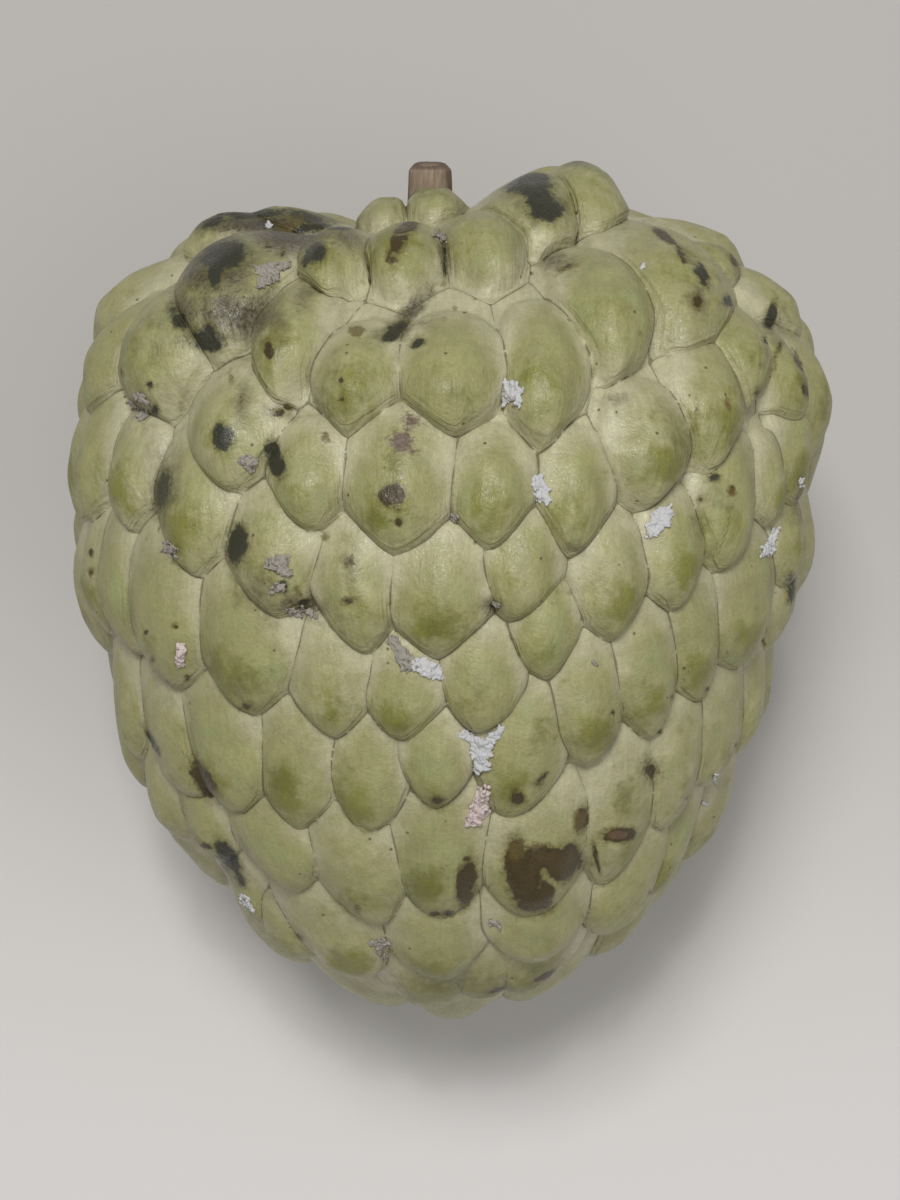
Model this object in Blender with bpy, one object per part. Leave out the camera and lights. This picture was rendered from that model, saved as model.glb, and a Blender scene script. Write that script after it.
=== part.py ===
"""An atemoya lying on its side: the scaly, heart-shaped fruit and its short cut stem.

Metres, +Z up, +Y towards the stem end. The origin is on the surface that the fruit rests on, under the
middle of its box. The fruit is shaped in a frame of its own, with +X to its right, +Y up its stem and +Z
out of its front, and is then turned to lie on its back flank.
"""
import math
import random

import bmesh
import bpy
import numpy as np
from mathutils import Vector

MM = 0.001

# Driving dimensions of the fruit. A flank is a list of (degrees from the stem end, mm from the middle to
# the tops of the scales). The four flanks meet at both ends.
RIGHT_FLANK = (
    (0, 46.8), (9, 50.0), (18, 52.8), (27, 52.2), (37, 52.8), (47, 53.8), (57, 54.0), (67, 52.0), (76, 47.8),
    (88, 45.6), (102, 43.2), (115, 44.2), (128, 46.2), (140, 49.2), (153, 53.2), (167, 57.6), (180, 60.0),
)
LEFT_FLANK = (
    (0, 46.8), (8, 46.2), (16, 45.8), (25, 49.2), (35, 52.6), (45, 53.4), (56, 53.6), (66, 51.4), (77, 49.2),
    (90, 48.0), (103, 46.0), (115, 47.2), (128, 50.0), (140, 50.8), (153, 54.8), (167, 57.6), (180, 60.0),
)
FRONT_FLANK = (
    (0, 46.8), (15, 47.4), (30, 48.4), (45, 49.4), (60, 49.0), (75, 47.0), (90, 45.6),
    (105, 45.0), (120, 46.0), (135, 48.6), (150, 52.8), (165, 57.2), (180, 60.0),
)
BACK_FLANK = (
    (0, 46.8), (15, 47.6), (30, 49.6), (45, 50.8), (60, 50.0), (75, 47.8), (90, 46.0),
    (105, 45.2), (120, 45.8), (135, 48.4), (150, 52.6), (165, 57.2), (180, 60.0),
)

# How it lies: the stem end is raised, and the scales that it rests on are worn flat.
STEM_END_RAISED = math.radians(18.0)
REST_WEAR = 1.1 * MM
REST_CUTTER_SIDE = 80.0 * MM

# The scales: how far apart they grow across the fruit and how much longer than wide they are. Each is a
# plate that rises out of the grooves, with a round crown on its lower part and a lip that lifts. They are
# bold at the stem end and flatter towards the tip. The powers shape the plate's edge, its pointed lip and
# its round root. A scale reaches past its share of the spacing, so that it overlaps its neighbours, and
# its lip ends near its tip as it is seen.
SCALE_SPACING = 11.8 * MM
SCALE_STRETCH = 1.40
PLATE_RISE_STEM_END = 1.6 * MM
PLATE_RISE_TIP_END = 1.3 * MM
CROWN_RISE_STEM_END = 2.2 * MM
CROWN_RISE_TIP_END = 1.4 * MM
LIP_LIFT_STEM_END = 2.0 * MM
LIP_LIFT_TIP_END = 1.2 * MM
LIP_STEEPENS = 0.25
GROOVE_FLOOR = -0.6 * MM
PLATE_POWER = 6.0
LIP_POWER = 1.5
ROOT_POWER = 2.1
SCALE_OVERLAP = 0.60
TIP_COVER_STEM_END = 0.86
TIP_COVER_TIP_END = 1.02
WIDTH_COVER = 1.2
SEEN_SIZE_RANGE = (0.75, 1.3)
SPACING_RANGE = (0.55, 1.25)
BOLDNESS_RANGE = (0.4, 1.2)
BOLDNESS_VARIES = 0.12
SCALE_TURNS = 0.10

# The crown of a scale, in shares of the scale: where its middle is, how wide and long it is from there to
# its foot, how much it narrows towards the lip, and how far out its round top goes. The outline of the
# fruit runs through the crowns at this share of their height.
CROWN_MIDDLE = 0.26
CROWN_HALF_WIDTH = 0.84
CROWN_HALF_LENGTH = 0.78
CROWN_NARROWS = 0.22
CROWN_TOP = 0.15
CROWN_SHARE_IN_OUTLINE = 0.85

# The stem: a short stalk, cut straight, in a socket with a little room round it.
STEM_TOP_RADIUS = 2.8 * MM
STEM_FOOT_RADIUS = 3.0 * MM
STEM_FOOT = 40.6 * MM
STEM_TOP = 50.8 * MM
STEM_ASIDE = -2.6 * MM
STEM_BARK = 0.6 * MM
STEM_CUT_HOLLOW = 0.5 * MM
STEM_SIDES = 20
SOCKET_GAP = 0.3 * MM
SOCKET_CLEARANCE = 10.0 * MM

# The fineness of the shell, and how near a groove, in edges, a point is drawn into it.
SHELL_SUBDIVISIONS = 7
SHELL_TRIANGLES = 9600
GROOVE_REACH = 0.4

# The eye that the scale rows below were read by, in pixels of a 900 x 1200 picture: the fruit's stem end
# leans towards the eye, and the middle of the fruit is a little above the middle of the picture.
EYE_DISTANCE = 260.0 * MM
EYE_LEAN = math.radians(8.0)
EYE_FOCAL_PIXELS = 2004.0
PICTURE_MIDDLE = (450.0, 600.0)
FRUIT_MIDDLE_PIXEL = (450.0, 560.0)
SIGHT_STEPS = 200

# Each scale in view, row by row from the stem end down to the tip, in pixels: its middle and, where it
# faces the eye, its lower tip and its width.
SCALE_ROWS = {
    "by the stem": ((381, 195, 380, 221, 42), (430, 187, 434, 212, 44)),
    "stem end": (
        (403, 222, 393, 330, 86), (479, 214, 508, 334, 84), (331, 228, 320, 312, 62),
        (531, 178, 554, 268, 98), (590, 146, 612, 222, 114), (308, 198), (221, 250, 210, 350, 100),
        (242, 200), (152, 314, 150, 402, 76), (284, 306, 266, 404, 76), (106, 328),
    ),
    "shoulder": (
        (355, 352, 340, 432, 90), (452, 350, 450, 432, 110), (551, 340, 543, 460, 86),
        (614, 272, 623, 400, 88), (682, 242, 693, 352, 84), (730, 234, 732, 312, 52), (770, 268),
        (754, 326, 757, 404, 48), (820, 362), (793, 352),
    ),
    "first": (
        (220, 415, 220, 481, 88), (300, 465, 305, 530, 82), (395, 470, 390, 553, 116),
        (495, 475, 492, 548, 88), (585, 480, 575, 555, 78), (660, 430, 655, 505, 84),
        (727, 376, 715, 475, 64), (118, 455, 116, 527, 42), (85, 440), (783, 470, 782, 526, 28),
        (808, 435),
    ),
    "second": (
        (180, 490, 186, 577, 78), (262, 545, 272, 620, 92), (348, 580, 360, 655, 84),
        (440, 590, 435, 660, 104), (530, 560, 515, 622, 80), (620, 570, 618, 642, 76),
        (685, 540, 680, 612, 62), (742, 490, 730, 573, 60), (800, 520), (83, 560), (102, 575),
    ),
    "third": (
        (150, 610, 168, 692, 76), (232, 640, 245, 719, 102), (322, 680, 330, 745, 88),
        (402, 695, 398, 748, 80), (485, 680, 482, 738, 86), (553, 625, 552, 682, 70),
        (760, 600, 748, 660, 52), (795, 585), (118, 690),
    ),
    "fourth": (
        (212, 745, 240, 819, 84), (285, 765, 292, 838, 84), (363, 780, 365, 843, 80),
        (435, 765, 437, 818, 74), (530, 750, 510, 828, 94), (595, 700, 598, 770, 76),
        (655, 670, 660, 742, 66), (707, 635, 710, 704, 52), (760, 690), (158, 740, 186, 784, 50),
    ),
    "fifth": (
        (265, 850, 300, 900, 80), (350, 870, 380, 932, 98), (440, 860, 440, 930, 104),
        (545, 860, 528, 925, 108), (630, 815, 604, 901, 70), (690, 760, 668, 838, 54),
        (732, 725, 716, 790, 42), (150, 790), (192, 820),
    ),
    "sixth": (
        (325, 940, 370, 981, 104), (435, 950, 440, 985, 106), (545, 925, 540, 963, 116),
        (642, 885, 600, 935, 60), (680, 848), (235, 890), (268, 925),
    ),
    "tip": ((420, 995), (490, 985), (545, 970)),
}
SEED = 11

# The scales out of view: they face away from the eye, start in a spiral, keep clear of the rows in view,
# and are pushed apart until each has its room.
AWAY_FROM_EYE = 0.35
CLEAR_OF_ROWS = 0.72
ROOM = 1.15
PUSHES = 80
PUSH_SHARE = 0.12


def flank_curve(flank):
    """Return a smooth function of the angle through the points of one flank, level at both ends."""
    angles = np.radians([point[0] for point in flank])
    radii = np.array([point[1] for point in flank]) * MM
    slopes = np.gradient(radii, angles)
    slopes[0] = 0.0
    slopes[-1] = 0.0

    def radius(angle):
        place = np.clip(np.searchsorted(angles, angle) - 1, 0, len(angles) - 2)
        span = angles[place + 1] - angles[place]
        t = (angle - angles[place]) / span
        start = radii[place] * (2 * t**3 - 3 * t**2 + 1) + slopes[place] * span * (t**3 - 2 * t**2 + t)
        end = radii[place + 1] * (3 * t**2 - 2 * t**3) + slopes[place + 1] * span * (t**3 - t**2)
        return start + end

    return radius


RIGHT_CURVE = flank_curve(RIGHT_FLANK)
LEFT_CURVE = flank_curve(LEFT_FLANK)
FRONT_CURVE = flank_curve(FRONT_FLANK)
BACK_CURVE = flank_curve(BACK_FLANK)


def unit(vectors):
    """Return the vectors at length 1."""
    return vectors / np.linalg.norm(vectors, axis=-1, keepdims=True)


def on_body(directions):
    """Return the points of the smooth body, through the tops of its scales, in these directions."""
    directions = unit(directions)
    angle = np.arccos(np.clip(directions[:, 1], -1.0, 1.0))
    around = np.hypot(directions[:, 0], directions[:, 2]) + 1e-9
    sideways = (directions[:, 0] / around) ** 2
    side = np.where(directions[:, 0] > 0, RIGHT_CURVE(angle), LEFT_CURVE(angle))
    depth = np.where(directions[:, 2] > 0, FRONT_CURVE(angle), BACK_CURVE(angle))
    radius = side * sideways + depth * (1.0 - sideways)
    return directions * radius[:, None]


def tangents(points):
    """Return, for points of the body, the unit vectors across it and down it towards the tip."""
    outward = unit(points)
    down = -np.array([0.0, 1.0, 0.0]) + outward * outward[:, 1:2]
    down = unit(down + 1e-9)
    across = np.cross(down, outward)
    return across, down


def meet_body(pixels):
    """Return where the sight lines through these pixels of the picture meet the smooth body."""
    pixels = np.array(pixels, dtype=float)
    to_eye = np.array([0.0, math.sin(EYE_LEAN), math.cos(EYE_LEAN)])
    picture_up = np.array([0.0, math.cos(EYE_LEAN), -math.sin(EYE_LEAN)])
    below_middle = (PICTURE_MIDDLE[1] - FRUIT_MIDDLE_PIXEL[1]) * EYE_DISTANCE / EYE_FOCAL_PIXELS
    eye = to_eye * EYE_DISTANCE - picture_up * below_middle
    sight = (
        np.outer(pixels[:, 0] - PICTURE_MIDDLE[0], (1.0, 0.0, 0.0))
        + np.outer(PICTURE_MIDDLE[1] - pixels[:, 1], picture_up)
    ) / EYE_FOCAL_PIXELS - to_eye
    sight = unit(sight)
    along = np.full(len(pixels), EYE_DISTANCE * 0.6)
    nearest = -(sight @ eye)
    for _ in range(SIGHT_STEPS):
        points = eye + sight * along[:, None]
        above = np.linalg.norm(points, axis=1) - np.linalg.norm(on_body(points), axis=1)
        along = np.minimum(along + 0.5 * np.maximum(above, 0.0), nearest)
    return on_body(eye + sight * along[:, None])


def seeds_in_view():
    """Return the middles of the scales in view, their tips and half widths, not numbers where unseen."""
    rows = [scale for row in SCALE_ROWS.values() for scale in row]
    middles = meet_body([scale[:2] for scale in rows])
    facing = [index for index, scale in enumerate(rows) if len(scale) == 5]
    tips = np.full_like(middles, np.nan)
    tips[facing] = meet_body([rows[index][2:4] for index in facing])
    half_widths = np.full(len(rows), np.nan)
    sides = [meet_body([(rows[i][0] + s * rows[i][4] / 2, rows[i][1]) for i in facing]) for s in (-1, 1)]
    half_widths[facing] = np.linalg.norm(sides[1] - sides[0], axis=1) / 2.0
    return middles, tips, half_widths


def metric(points, others):
    """Return the offsets across and down from each point to each other one, and their even distance."""
    across, down = tangents(points)
    offset = others[None, :, :] - points[:, None, :]
    sideways = np.einsum("ijk,ik->ij", offset, across)
    downward = np.einsum("ijk,ik->ij", offset, down) / SCALE_STRETCH
    facing = unit(points) @ unit(others).T
    distance = np.where(facing > 0.0, np.hypot(sideways, downward), 1.0)
    return sideways, downward, distance


def spiral_seeds():
    """Return seeds in a spiral from the stem end to the tip, each a golden angle on from the last."""
    angle = np.linspace(0.0, math.pi, 721)
    radius = (RIGHT_CURVE(angle) + LEFT_CURVE(angle) + FRONT_CURVE(angle) + BACK_CURVE(angle)) / 4.0
    profile = np.stack((radius * np.sin(angle), radius * np.cos(angle)), axis=1)
    step = np.linalg.norm(np.diff(profile, axis=0), axis=1)
    area = np.concatenate(([0.0], np.cumsum(step * math.pi * (profile[1:, 0] + profile[:-1, 0]))))
    scale_area = SCALE_SPACING**2 * SCALE_STRETCH * math.sqrt(3.0) / 2.0
    count = int(area[-1] / scale_area)
    index = np.arange(count) + 0.5
    seed_angle = np.interp(index / count * area[-1], area, angle)
    turn = index * math.pi * (3.0 - math.sqrt(5.0))
    directions = np.stack(
        (np.sin(seed_angle) * np.cos(turn), np.cos(seed_angle), np.sin(seed_angle) * np.sin(turn)), axis=1
    )
    return on_body(directions)


def behind_seeds(fixed):
    """Return the seeds out of view: those of the spiral, spread out evenly behind the fixed ones."""
    free = spiral_seeds()
    to_eye = np.array([0.0, math.sin(EYE_LEAN), math.cos(EYE_LEAN)])
    hidden = unit(free) @ to_eye < AWAY_FROM_EYE
    clear = metric(free, fixed)[2].min(axis=1) > CLEAR_OF_ROWS * SCALE_SPACING
    free = free[hidden & clear]
    room = ROOM * SCALE_SPACING
    for _ in range(PUSHES):
        seeds = np.concatenate((fixed, free))
        sideways, downward, distance = metric(free, seeds)
        near = (distance > 1e-6) & (distance < room)
        push = np.where(near, (room - distance) / np.maximum(distance, 1e-6), 0.0) * PUSH_SHARE
        across, down = tangents(free)
        free = free - across * (push * sideways).sum(axis=1)[:, None]
        free = on_body(free - down * (push * downward).sum(axis=1)[:, None] * SCALE_STRETCH)
    return free


def from_stem_to_tip(points, stem_value, tip_value):
    """Return a value that goes smoothly from one end of the fruit to the other."""
    share = np.clip(0.9 - unit(points)[:, 1] * 0.9, 0.0, 1.0)
    share = share * share * (3.0 - 2.0 * share)
    return stem_value + (tip_value - stem_value) * share


def grow_scales():
    """Return the scales, as arrays: middle, directions, half width, half lengths and the three rises."""
    in_view, tips, half_widths = seeds_in_view()
    middle = np.concatenate((in_view, behind_seeds(in_view)))
    across, down = tangents(middle)
    distance = np.sort(metric(middle, middle)[2], axis=1)[:, 1:7]
    spacing = np.clip(distance.mean(axis=1) / SCALE_SPACING, *SPACING_RANGE) * SCALE_SPACING
    draw = random.Random(SEED)
    turn = np.array([draw.uniform(-SCALE_TURNS, SCALE_TURNS) for _ in middle])[:, None]
    vary = np.array([1.0 + draw.uniform(-BOLDNESS_VARIES, BOLDNESS_VARIES) for _ in middle])
    half_width = spacing * SCALE_OVERLAP
    root_length = half_width * SCALE_STRETCH
    tip_length = root_length.copy()
    down = down * np.cos(turn) - across * np.sin(turn)
    seen = np.flatnonzero(~np.isnan(half_widths))
    outward = unit(middle)[seen]
    towards_tip = tips[seen] - middle[seen]
    towards_tip = towards_tip - outward * (towards_tip * outward).sum(axis=1)[:, None]
    down[seen] = unit(towards_tip)
    half_width[seen] *= np.clip(half_widths[seen] * WIDTH_COVER / half_width[seen], *SEEN_SIZE_RANGE)
    even_length = half_width[seen] * SCALE_STRETCH
    cover = from_stem_to_tip(middle[seen], TIP_COVER_STEM_END, TIP_COVER_TIP_END)
    seen_length = np.linalg.norm(towards_tip, axis=1) * cover
    tip_length[seen] = np.clip(seen_length / even_length, *SEEN_SIZE_RANGE) * even_length
    root_length[seen] = np.maximum(0.9 * even_length, 0.95 * tip_length[seen])
    boldness = np.clip(half_width / (SCALE_OVERLAP * SCALE_SPACING), *BOLDNESS_RANGE) ** 0.6 * vary
    return {
        "middle": middle,
        "across": np.cross(down, unit(middle)),
        "down": down,
        "half_width": half_width,
        "root_length": root_length,
        "tip_length": tip_length,
        "rise": from_stem_to_tip(middle, PLATE_RISE_STEM_END, PLATE_RISE_TIP_END) * boldness,
        "crown": from_stem_to_tip(middle, CROWN_RISE_STEM_END, CROWN_RISE_TIP_END) * boldness,
        "lift": from_stem_to_tip(middle, LIP_LIFT_STEM_END, LIP_LIFT_TIP_END) * boldness,
    }


def scale_height(sideways, downward, half_width, root_length, tip_length, rise, crown, lift):
    """Return how high a scale stands at a point: a plate, a round crown on it, and a lip that is proud."""
    across = sideways / half_width
    down = downward / np.where(downward > 0.0, tip_length, root_length)
    power = np.where(down > 0.0, LIP_POWER, ROOT_POWER)
    reach = np.abs(across) ** power + np.abs(down) ** power
    crown_width = CROWN_HALF_WIDTH * (1.0 - CROWN_NARROWS * down)
    off_crown = np.hypot(across / crown_width, (down - CROWN_MIDDLE) / CROWN_HALF_LENGTH)
    share = np.clip((1.0 - off_crown) / (1.0 - CROWN_TOP), 0.0, 1.0)
    share = share * share * (3.0 - 2.0 * share)
    plate = rise * (1.0 - reach ** (PLATE_POWER / power))
    return plate + crown * share + lift * down * (1.0 - LIP_STEEPENS * (1.0 - down))


def top_two(points, scales):
    """Return, for points of the smooth body, the highest two scales there and their heights."""
    first = np.zeros(len(points), dtype=int)
    second = np.zeros(len(points), dtype=int)
    heights = np.zeros((2, len(points)))
    for start in range(0, len(points), 8192):
        part = slice(start, start + 8192)
        sideways = points[part] @ scales["across"].T - (scales["middle"] * scales["across"]).sum(axis=1)
        downward = points[part] @ scales["down"].T - (scales["middle"] * scales["down"]).sum(axis=1)
        height = scale_height(
            sideways, downward, scales["half_width"], scales["root_length"], scales["tip_length"],
            scales["rise"], scales["crown"], scales["lift"],
        )
        facing = unit(points[part]) @ unit(scales["middle"]).T
        height = np.where(facing > 0.0, height, -1.0)
        rows = np.arange(len(height))
        first[part] = height.argmax(axis=1)
        heights[0, part] = height[rows, first[part]]
        height[rows, first[part]] = -2.0
        second[part] = height.argmax(axis=1)
        heights[1, part] = height[rows, second[part]]
    return first, second, heights


def height_of(points, scales, chosen):
    """Return the height of one chosen scale at each point."""
    offset = points - scales["middle"][chosen]
    sideways = (offset * scales["across"][chosen]).sum(axis=1)
    downward = (offset * scales["down"][chosen]).sum(axis=1)
    return scale_height(
        sideways, downward, scales["half_width"][chosen], scales["root_length"][chosen],
        scales["tip_length"][chosen], scales["rise"][chosen], scales["crown"][chosen],
        scales["lift"][chosen],
    )


def draw_to_grooves(points, scales, reach):
    """Move the points that lie within reach of a groove into it, so that the grooves run clean."""
    first, second, heights = top_two(points, scales)
    across, down = tangents(points)
    nudge = 0.05 * MM
    gap = heights[0] - heights[1]
    slopes = []
    for along in (across, down):
        moved = points + along * nudge
        slopes.append((height_of(moved, scales, first) - height_of(moved, scales, second) - gap) / nudge)
    steepness = np.hypot(slopes[0], slopes[1]) + 1e-6
    distance = gap / steepness
    close = (distance < reach) & (heights[0] > GROOVE_FLOOR)
    step = np.where(close, distance / steepness, 0.0)[:, None]
    moved = points - (across * slopes[0][:, None] + down * slopes[1][:, None]) * step
    return on_body(moved)


def shape_shell(mesh_object, scales):
    """Give a unit icosphere the form of the fruit with its scales."""
    mesh = mesh_object.data
    directions = np.empty(len(mesh.vertices) * 3)
    mesh.vertices.foreach_get("co", directions)
    points = on_body(directions.reshape(-1, 3))
    face_area = 4.0 * math.pi * np.square(points).sum(axis=1).mean() / len(mesh.polygons)
    edge = math.sqrt(face_area * 4.0 / math.sqrt(3.0))
    points = draw_to_grooves(points, scales, GROOVE_REACH * edge)
    heights = np.maximum(top_two(points, scales)[2][0], GROOVE_FLOOR)
    plates = from_stem_to_tip(points, PLATE_RISE_STEM_END, PLATE_RISE_TIP_END)
    crowns = from_stem_to_tip(points, CROWN_RISE_STEM_END, CROWN_RISE_TIP_END)
    sunk = plates + crowns * CROWN_SHARE_IN_OUTLINE
    points = points + unit(points) * (heights - sunk)[:, None]
    mesh.vertices.foreach_set("co", points.ravel())
    mesh.shade_smooth()
    mesh.update()


def finish(name, colour, roughness):
    """Return a material of one colour."""
    material = bpy.data.materials.new(name)
    material.use_nodes = True
    shader = material.node_tree.nodes["Principled BSDF"]
    shader.inputs["Base Color"].default_value = (*colour, 1.0)
    shader.inputs["Roughness"].default_value = roughness
    shader.inputs["Metallic"].default_value = 0.0
    return material


def new_object(name, shaped, collection):
    """Return a new object that holds a copy of the bmesh, and free the bmesh."""
    mesh = bpy.data.meshes.new(name)
    shaped.to_mesh(mesh)
    shaped.free()
    made = bpy.data.objects.new(name, mesh)
    collection.objects.link(made)
    return made


def cut_with(target, cutter, name):
    """Cut one object with another by a live Boolean."""
    cut = target.modifiers.new(name, "BOOLEAN")
    cut.operation = "DIFFERENCE"
    cut.solver = "EXACT"
    cut.object = cutter
    cutter.hide_render = True
    cutter.display_type = "WIRE"


def make_fruit(collection):
    """Make the scaly body and lay it on its back flank, with the middle of its box over the origin."""
    ball = bmesh.new()
    bmesh.ops.create_icosphere(ball, subdivisions=SHELL_SUBDIVISIONS, radius=1.0)
    fruit = new_object("fruit", ball, collection)
    shape_shell(fruit, grow_scales())
    fruit.data.materials.append(finish("green scaly skin", (0.42, 0.46, 0.20), 0.45))

    thin = fruit.modifiers.new("fewer faces", "DECIMATE")
    thin.ratio = SHELL_TRIANGLES / len(fruit.data.polygons)

    fruit.rotation_euler.x = STEM_END_RAISED
    turned = [fruit.rotation_euler.to_matrix() @ vertex.co for vertex in fruit.data.vertices]
    low = Vector(min(point[axis] for point in turned) for axis in range(3))
    high = Vector(max(point[axis] for point in turned) for axis in range(3))
    fruit.location = (-(low.x + high.x) / 2.0, -(low.y + high.y) / 2.0, -low.z - REST_WEAR)
    return fruit


def make_stem(fruit, collection):
    """Make the stalk, a little thicker at its foot, with a slightly hollow cut end."""
    length = STEM_TOP - STEM_FOOT
    stalk = bmesh.new()
    bmesh.ops.create_cone(
        stalk, cap_ends=True, cap_tris=False, segments=STEM_SIDES,
        radius1=STEM_FOOT_RADIUS, radius2=STEM_TOP_RADIUS, depth=length,
    )
    top = max(stalk.faces, key=lambda face: face.calc_center_median().z)
    bmesh.ops.inset_individual(stalk, faces=[top], thickness=STEM_BARK, depth=0.0)
    bmesh.ops.inset_individual(stalk, faces=[top], thickness=STEM_BARK, depth=-STEM_CUT_HOLLOW)
    stem = new_object("stem", stalk, collection)
    stem.data.materials.append(finish("brown bark", (0.20, 0.14, 0.10), 0.8))
    stem.data.shade_smooth()
    stem.data.set_sharp_from_angle(angle=math.radians(40.0))
    stem.parent = fruit
    stem.location = (STEM_ASIDE, STEM_FOOT + length / 2.0, 0.0)
    stem.rotation_euler = (-math.pi / 2.0, 0.0, 0.0)
    return stem


def make_socket_cutter(fruit, collection):
    """Make the cutter of the stem's socket: the stem with a gap round it, open at the top."""
    length = STEM_TOP - STEM_FOOT + SOCKET_CLEARANCE
    plug = bmesh.new()
    bmesh.ops.create_cone(
        plug, cap_ends=True, cap_tris=False, segments=STEM_SIDES,
        radius1=STEM_FOOT_RADIUS + SOCKET_GAP, radius2=STEM_FOOT_RADIUS + SOCKET_GAP, depth=length,
    )
    cutter = new_object("socket cutter", plug, collection)
    cutter.parent = fruit
    cutter.location = (STEM_ASIDE, STEM_FOOT - SOCKET_GAP + length / 2.0, 0.0)
    cutter.rotation_euler = (-math.pi / 2.0, 0.0, 0.0)
    return cutter


def make_rest_cutter(collection):
    """Make the cutter that flattens the scales the fruit rests on: a block with its top at height 0."""
    block = bmesh.new()
    bmesh.ops.create_cube(block, size=REST_CUTTER_SIDE)
    cutter = new_object("rest cutter", block, collection)
    cutter.location.z = -REST_CUTTER_SIDE / 2.0
    return cutter


def build():
    """Clear the scene and make the fruit, its stem and the cutters."""
    for old in list(bpy.data.objects):
        bpy.data.objects.remove(old, do_unlink=True)
    parts = bpy.data.collections.new("atemoya")
    cutters = bpy.data.collections.new("cutters")
    bpy.context.scene.collection.children.link(parts)
    bpy.context.scene.collection.children.link(cutters)
    fruit = make_fruit(parts)
    make_stem(fruit, parts)
    cut_with(fruit, make_socket_cutter(fruit, cutters), "stem socket")
    cut_with(fruit, make_rest_cutter(cutters), "rest spot")


build()
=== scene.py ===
"""An atemoya lying on its flank: its scaly skin, its cut stem and the tufts of wax in its grooves.

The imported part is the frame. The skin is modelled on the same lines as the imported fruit, scale by scale,
and finer. Metres, +Z up, +Y towards the stem end.
"""

import logging
import math
import random
from collections.abc import Callable
from dataclasses import dataclass
from enum import Enum
from itertools import product
from typing import Any

import bpy
import numpy as np
from mathutils import Matrix, Vector
from mathutils.bvhtree import BVHTree
from mathutils.kdtree import KDTree

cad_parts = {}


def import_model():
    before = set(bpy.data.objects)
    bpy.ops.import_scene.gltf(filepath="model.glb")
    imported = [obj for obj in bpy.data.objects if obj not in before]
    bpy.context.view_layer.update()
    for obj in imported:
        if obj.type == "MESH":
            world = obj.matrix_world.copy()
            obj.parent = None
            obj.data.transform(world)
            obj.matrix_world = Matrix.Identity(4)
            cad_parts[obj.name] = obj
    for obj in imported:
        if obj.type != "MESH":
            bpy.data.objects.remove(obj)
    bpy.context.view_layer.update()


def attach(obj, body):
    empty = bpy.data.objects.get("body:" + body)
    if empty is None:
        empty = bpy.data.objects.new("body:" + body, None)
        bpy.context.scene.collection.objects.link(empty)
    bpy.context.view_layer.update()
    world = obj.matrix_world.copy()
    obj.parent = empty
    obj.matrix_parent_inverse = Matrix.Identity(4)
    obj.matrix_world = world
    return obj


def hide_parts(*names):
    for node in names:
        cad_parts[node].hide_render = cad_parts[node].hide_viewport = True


LOG = logging.getLogger("atemoya")
MM = 0.001

# Large primes that scramble the corners of a noise's cells.
SCRAMBLE = np.array((73856093, 19349663, 83492791))

Flank = tuple[tuple[float, float], ...]
Scale = tuple[float, ...]
Ends = tuple[float, float]
Colour = tuple[float, float, float, float]

# The four flanks of the fruit: (degrees from the stem end, mm from the middle to the tops of the scales).
RIGHT_FLANK: Flank = (
    (0, 46.8), (9, 50), (18, 52.8), (27, 52.2), (37, 52.8), (47, 53.8), (57, 54), (67, 52), (76, 47.8),
    (88, 45.6), (102, 43.2), (115, 44.2), (128, 46.2), (140, 49.2), (153, 53.2), (167, 57.6), (180, 60),
)
LEFT_FLANK: Flank = (
    (0, 46.8), (8, 46.2), (16, 45.8), (25, 49.2), (35, 52.6), (45, 53.4), (56, 53.6), (66, 51.4), (77, 49.2),
    (90, 48), (103, 46), (115, 47.2), (128, 50), (140, 50.8), (153, 54.8), (167, 57.6), (180, 60),
)
FRONT_FLANK: Flank = (
    (0, 46.8), (15, 47.4), (30, 48.4), (45, 49.4), (60, 49), (75, 47), (90, 45.6),
    (105, 45), (120, 46), (135, 48.6), (150, 52.8), (165, 57.2), (180, 60),
)
BACK_FLANK: Flank = (
    (0, 46.8), (15, 47.6), (30, 49.6), (45, 50.8), (60, 50), (75, 47.8), (90, 46),
    (105, 45.2), (120, 45.8), (135, 48.4), (150, 52.6), (165, 57.2), (180, 60),
)

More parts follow.
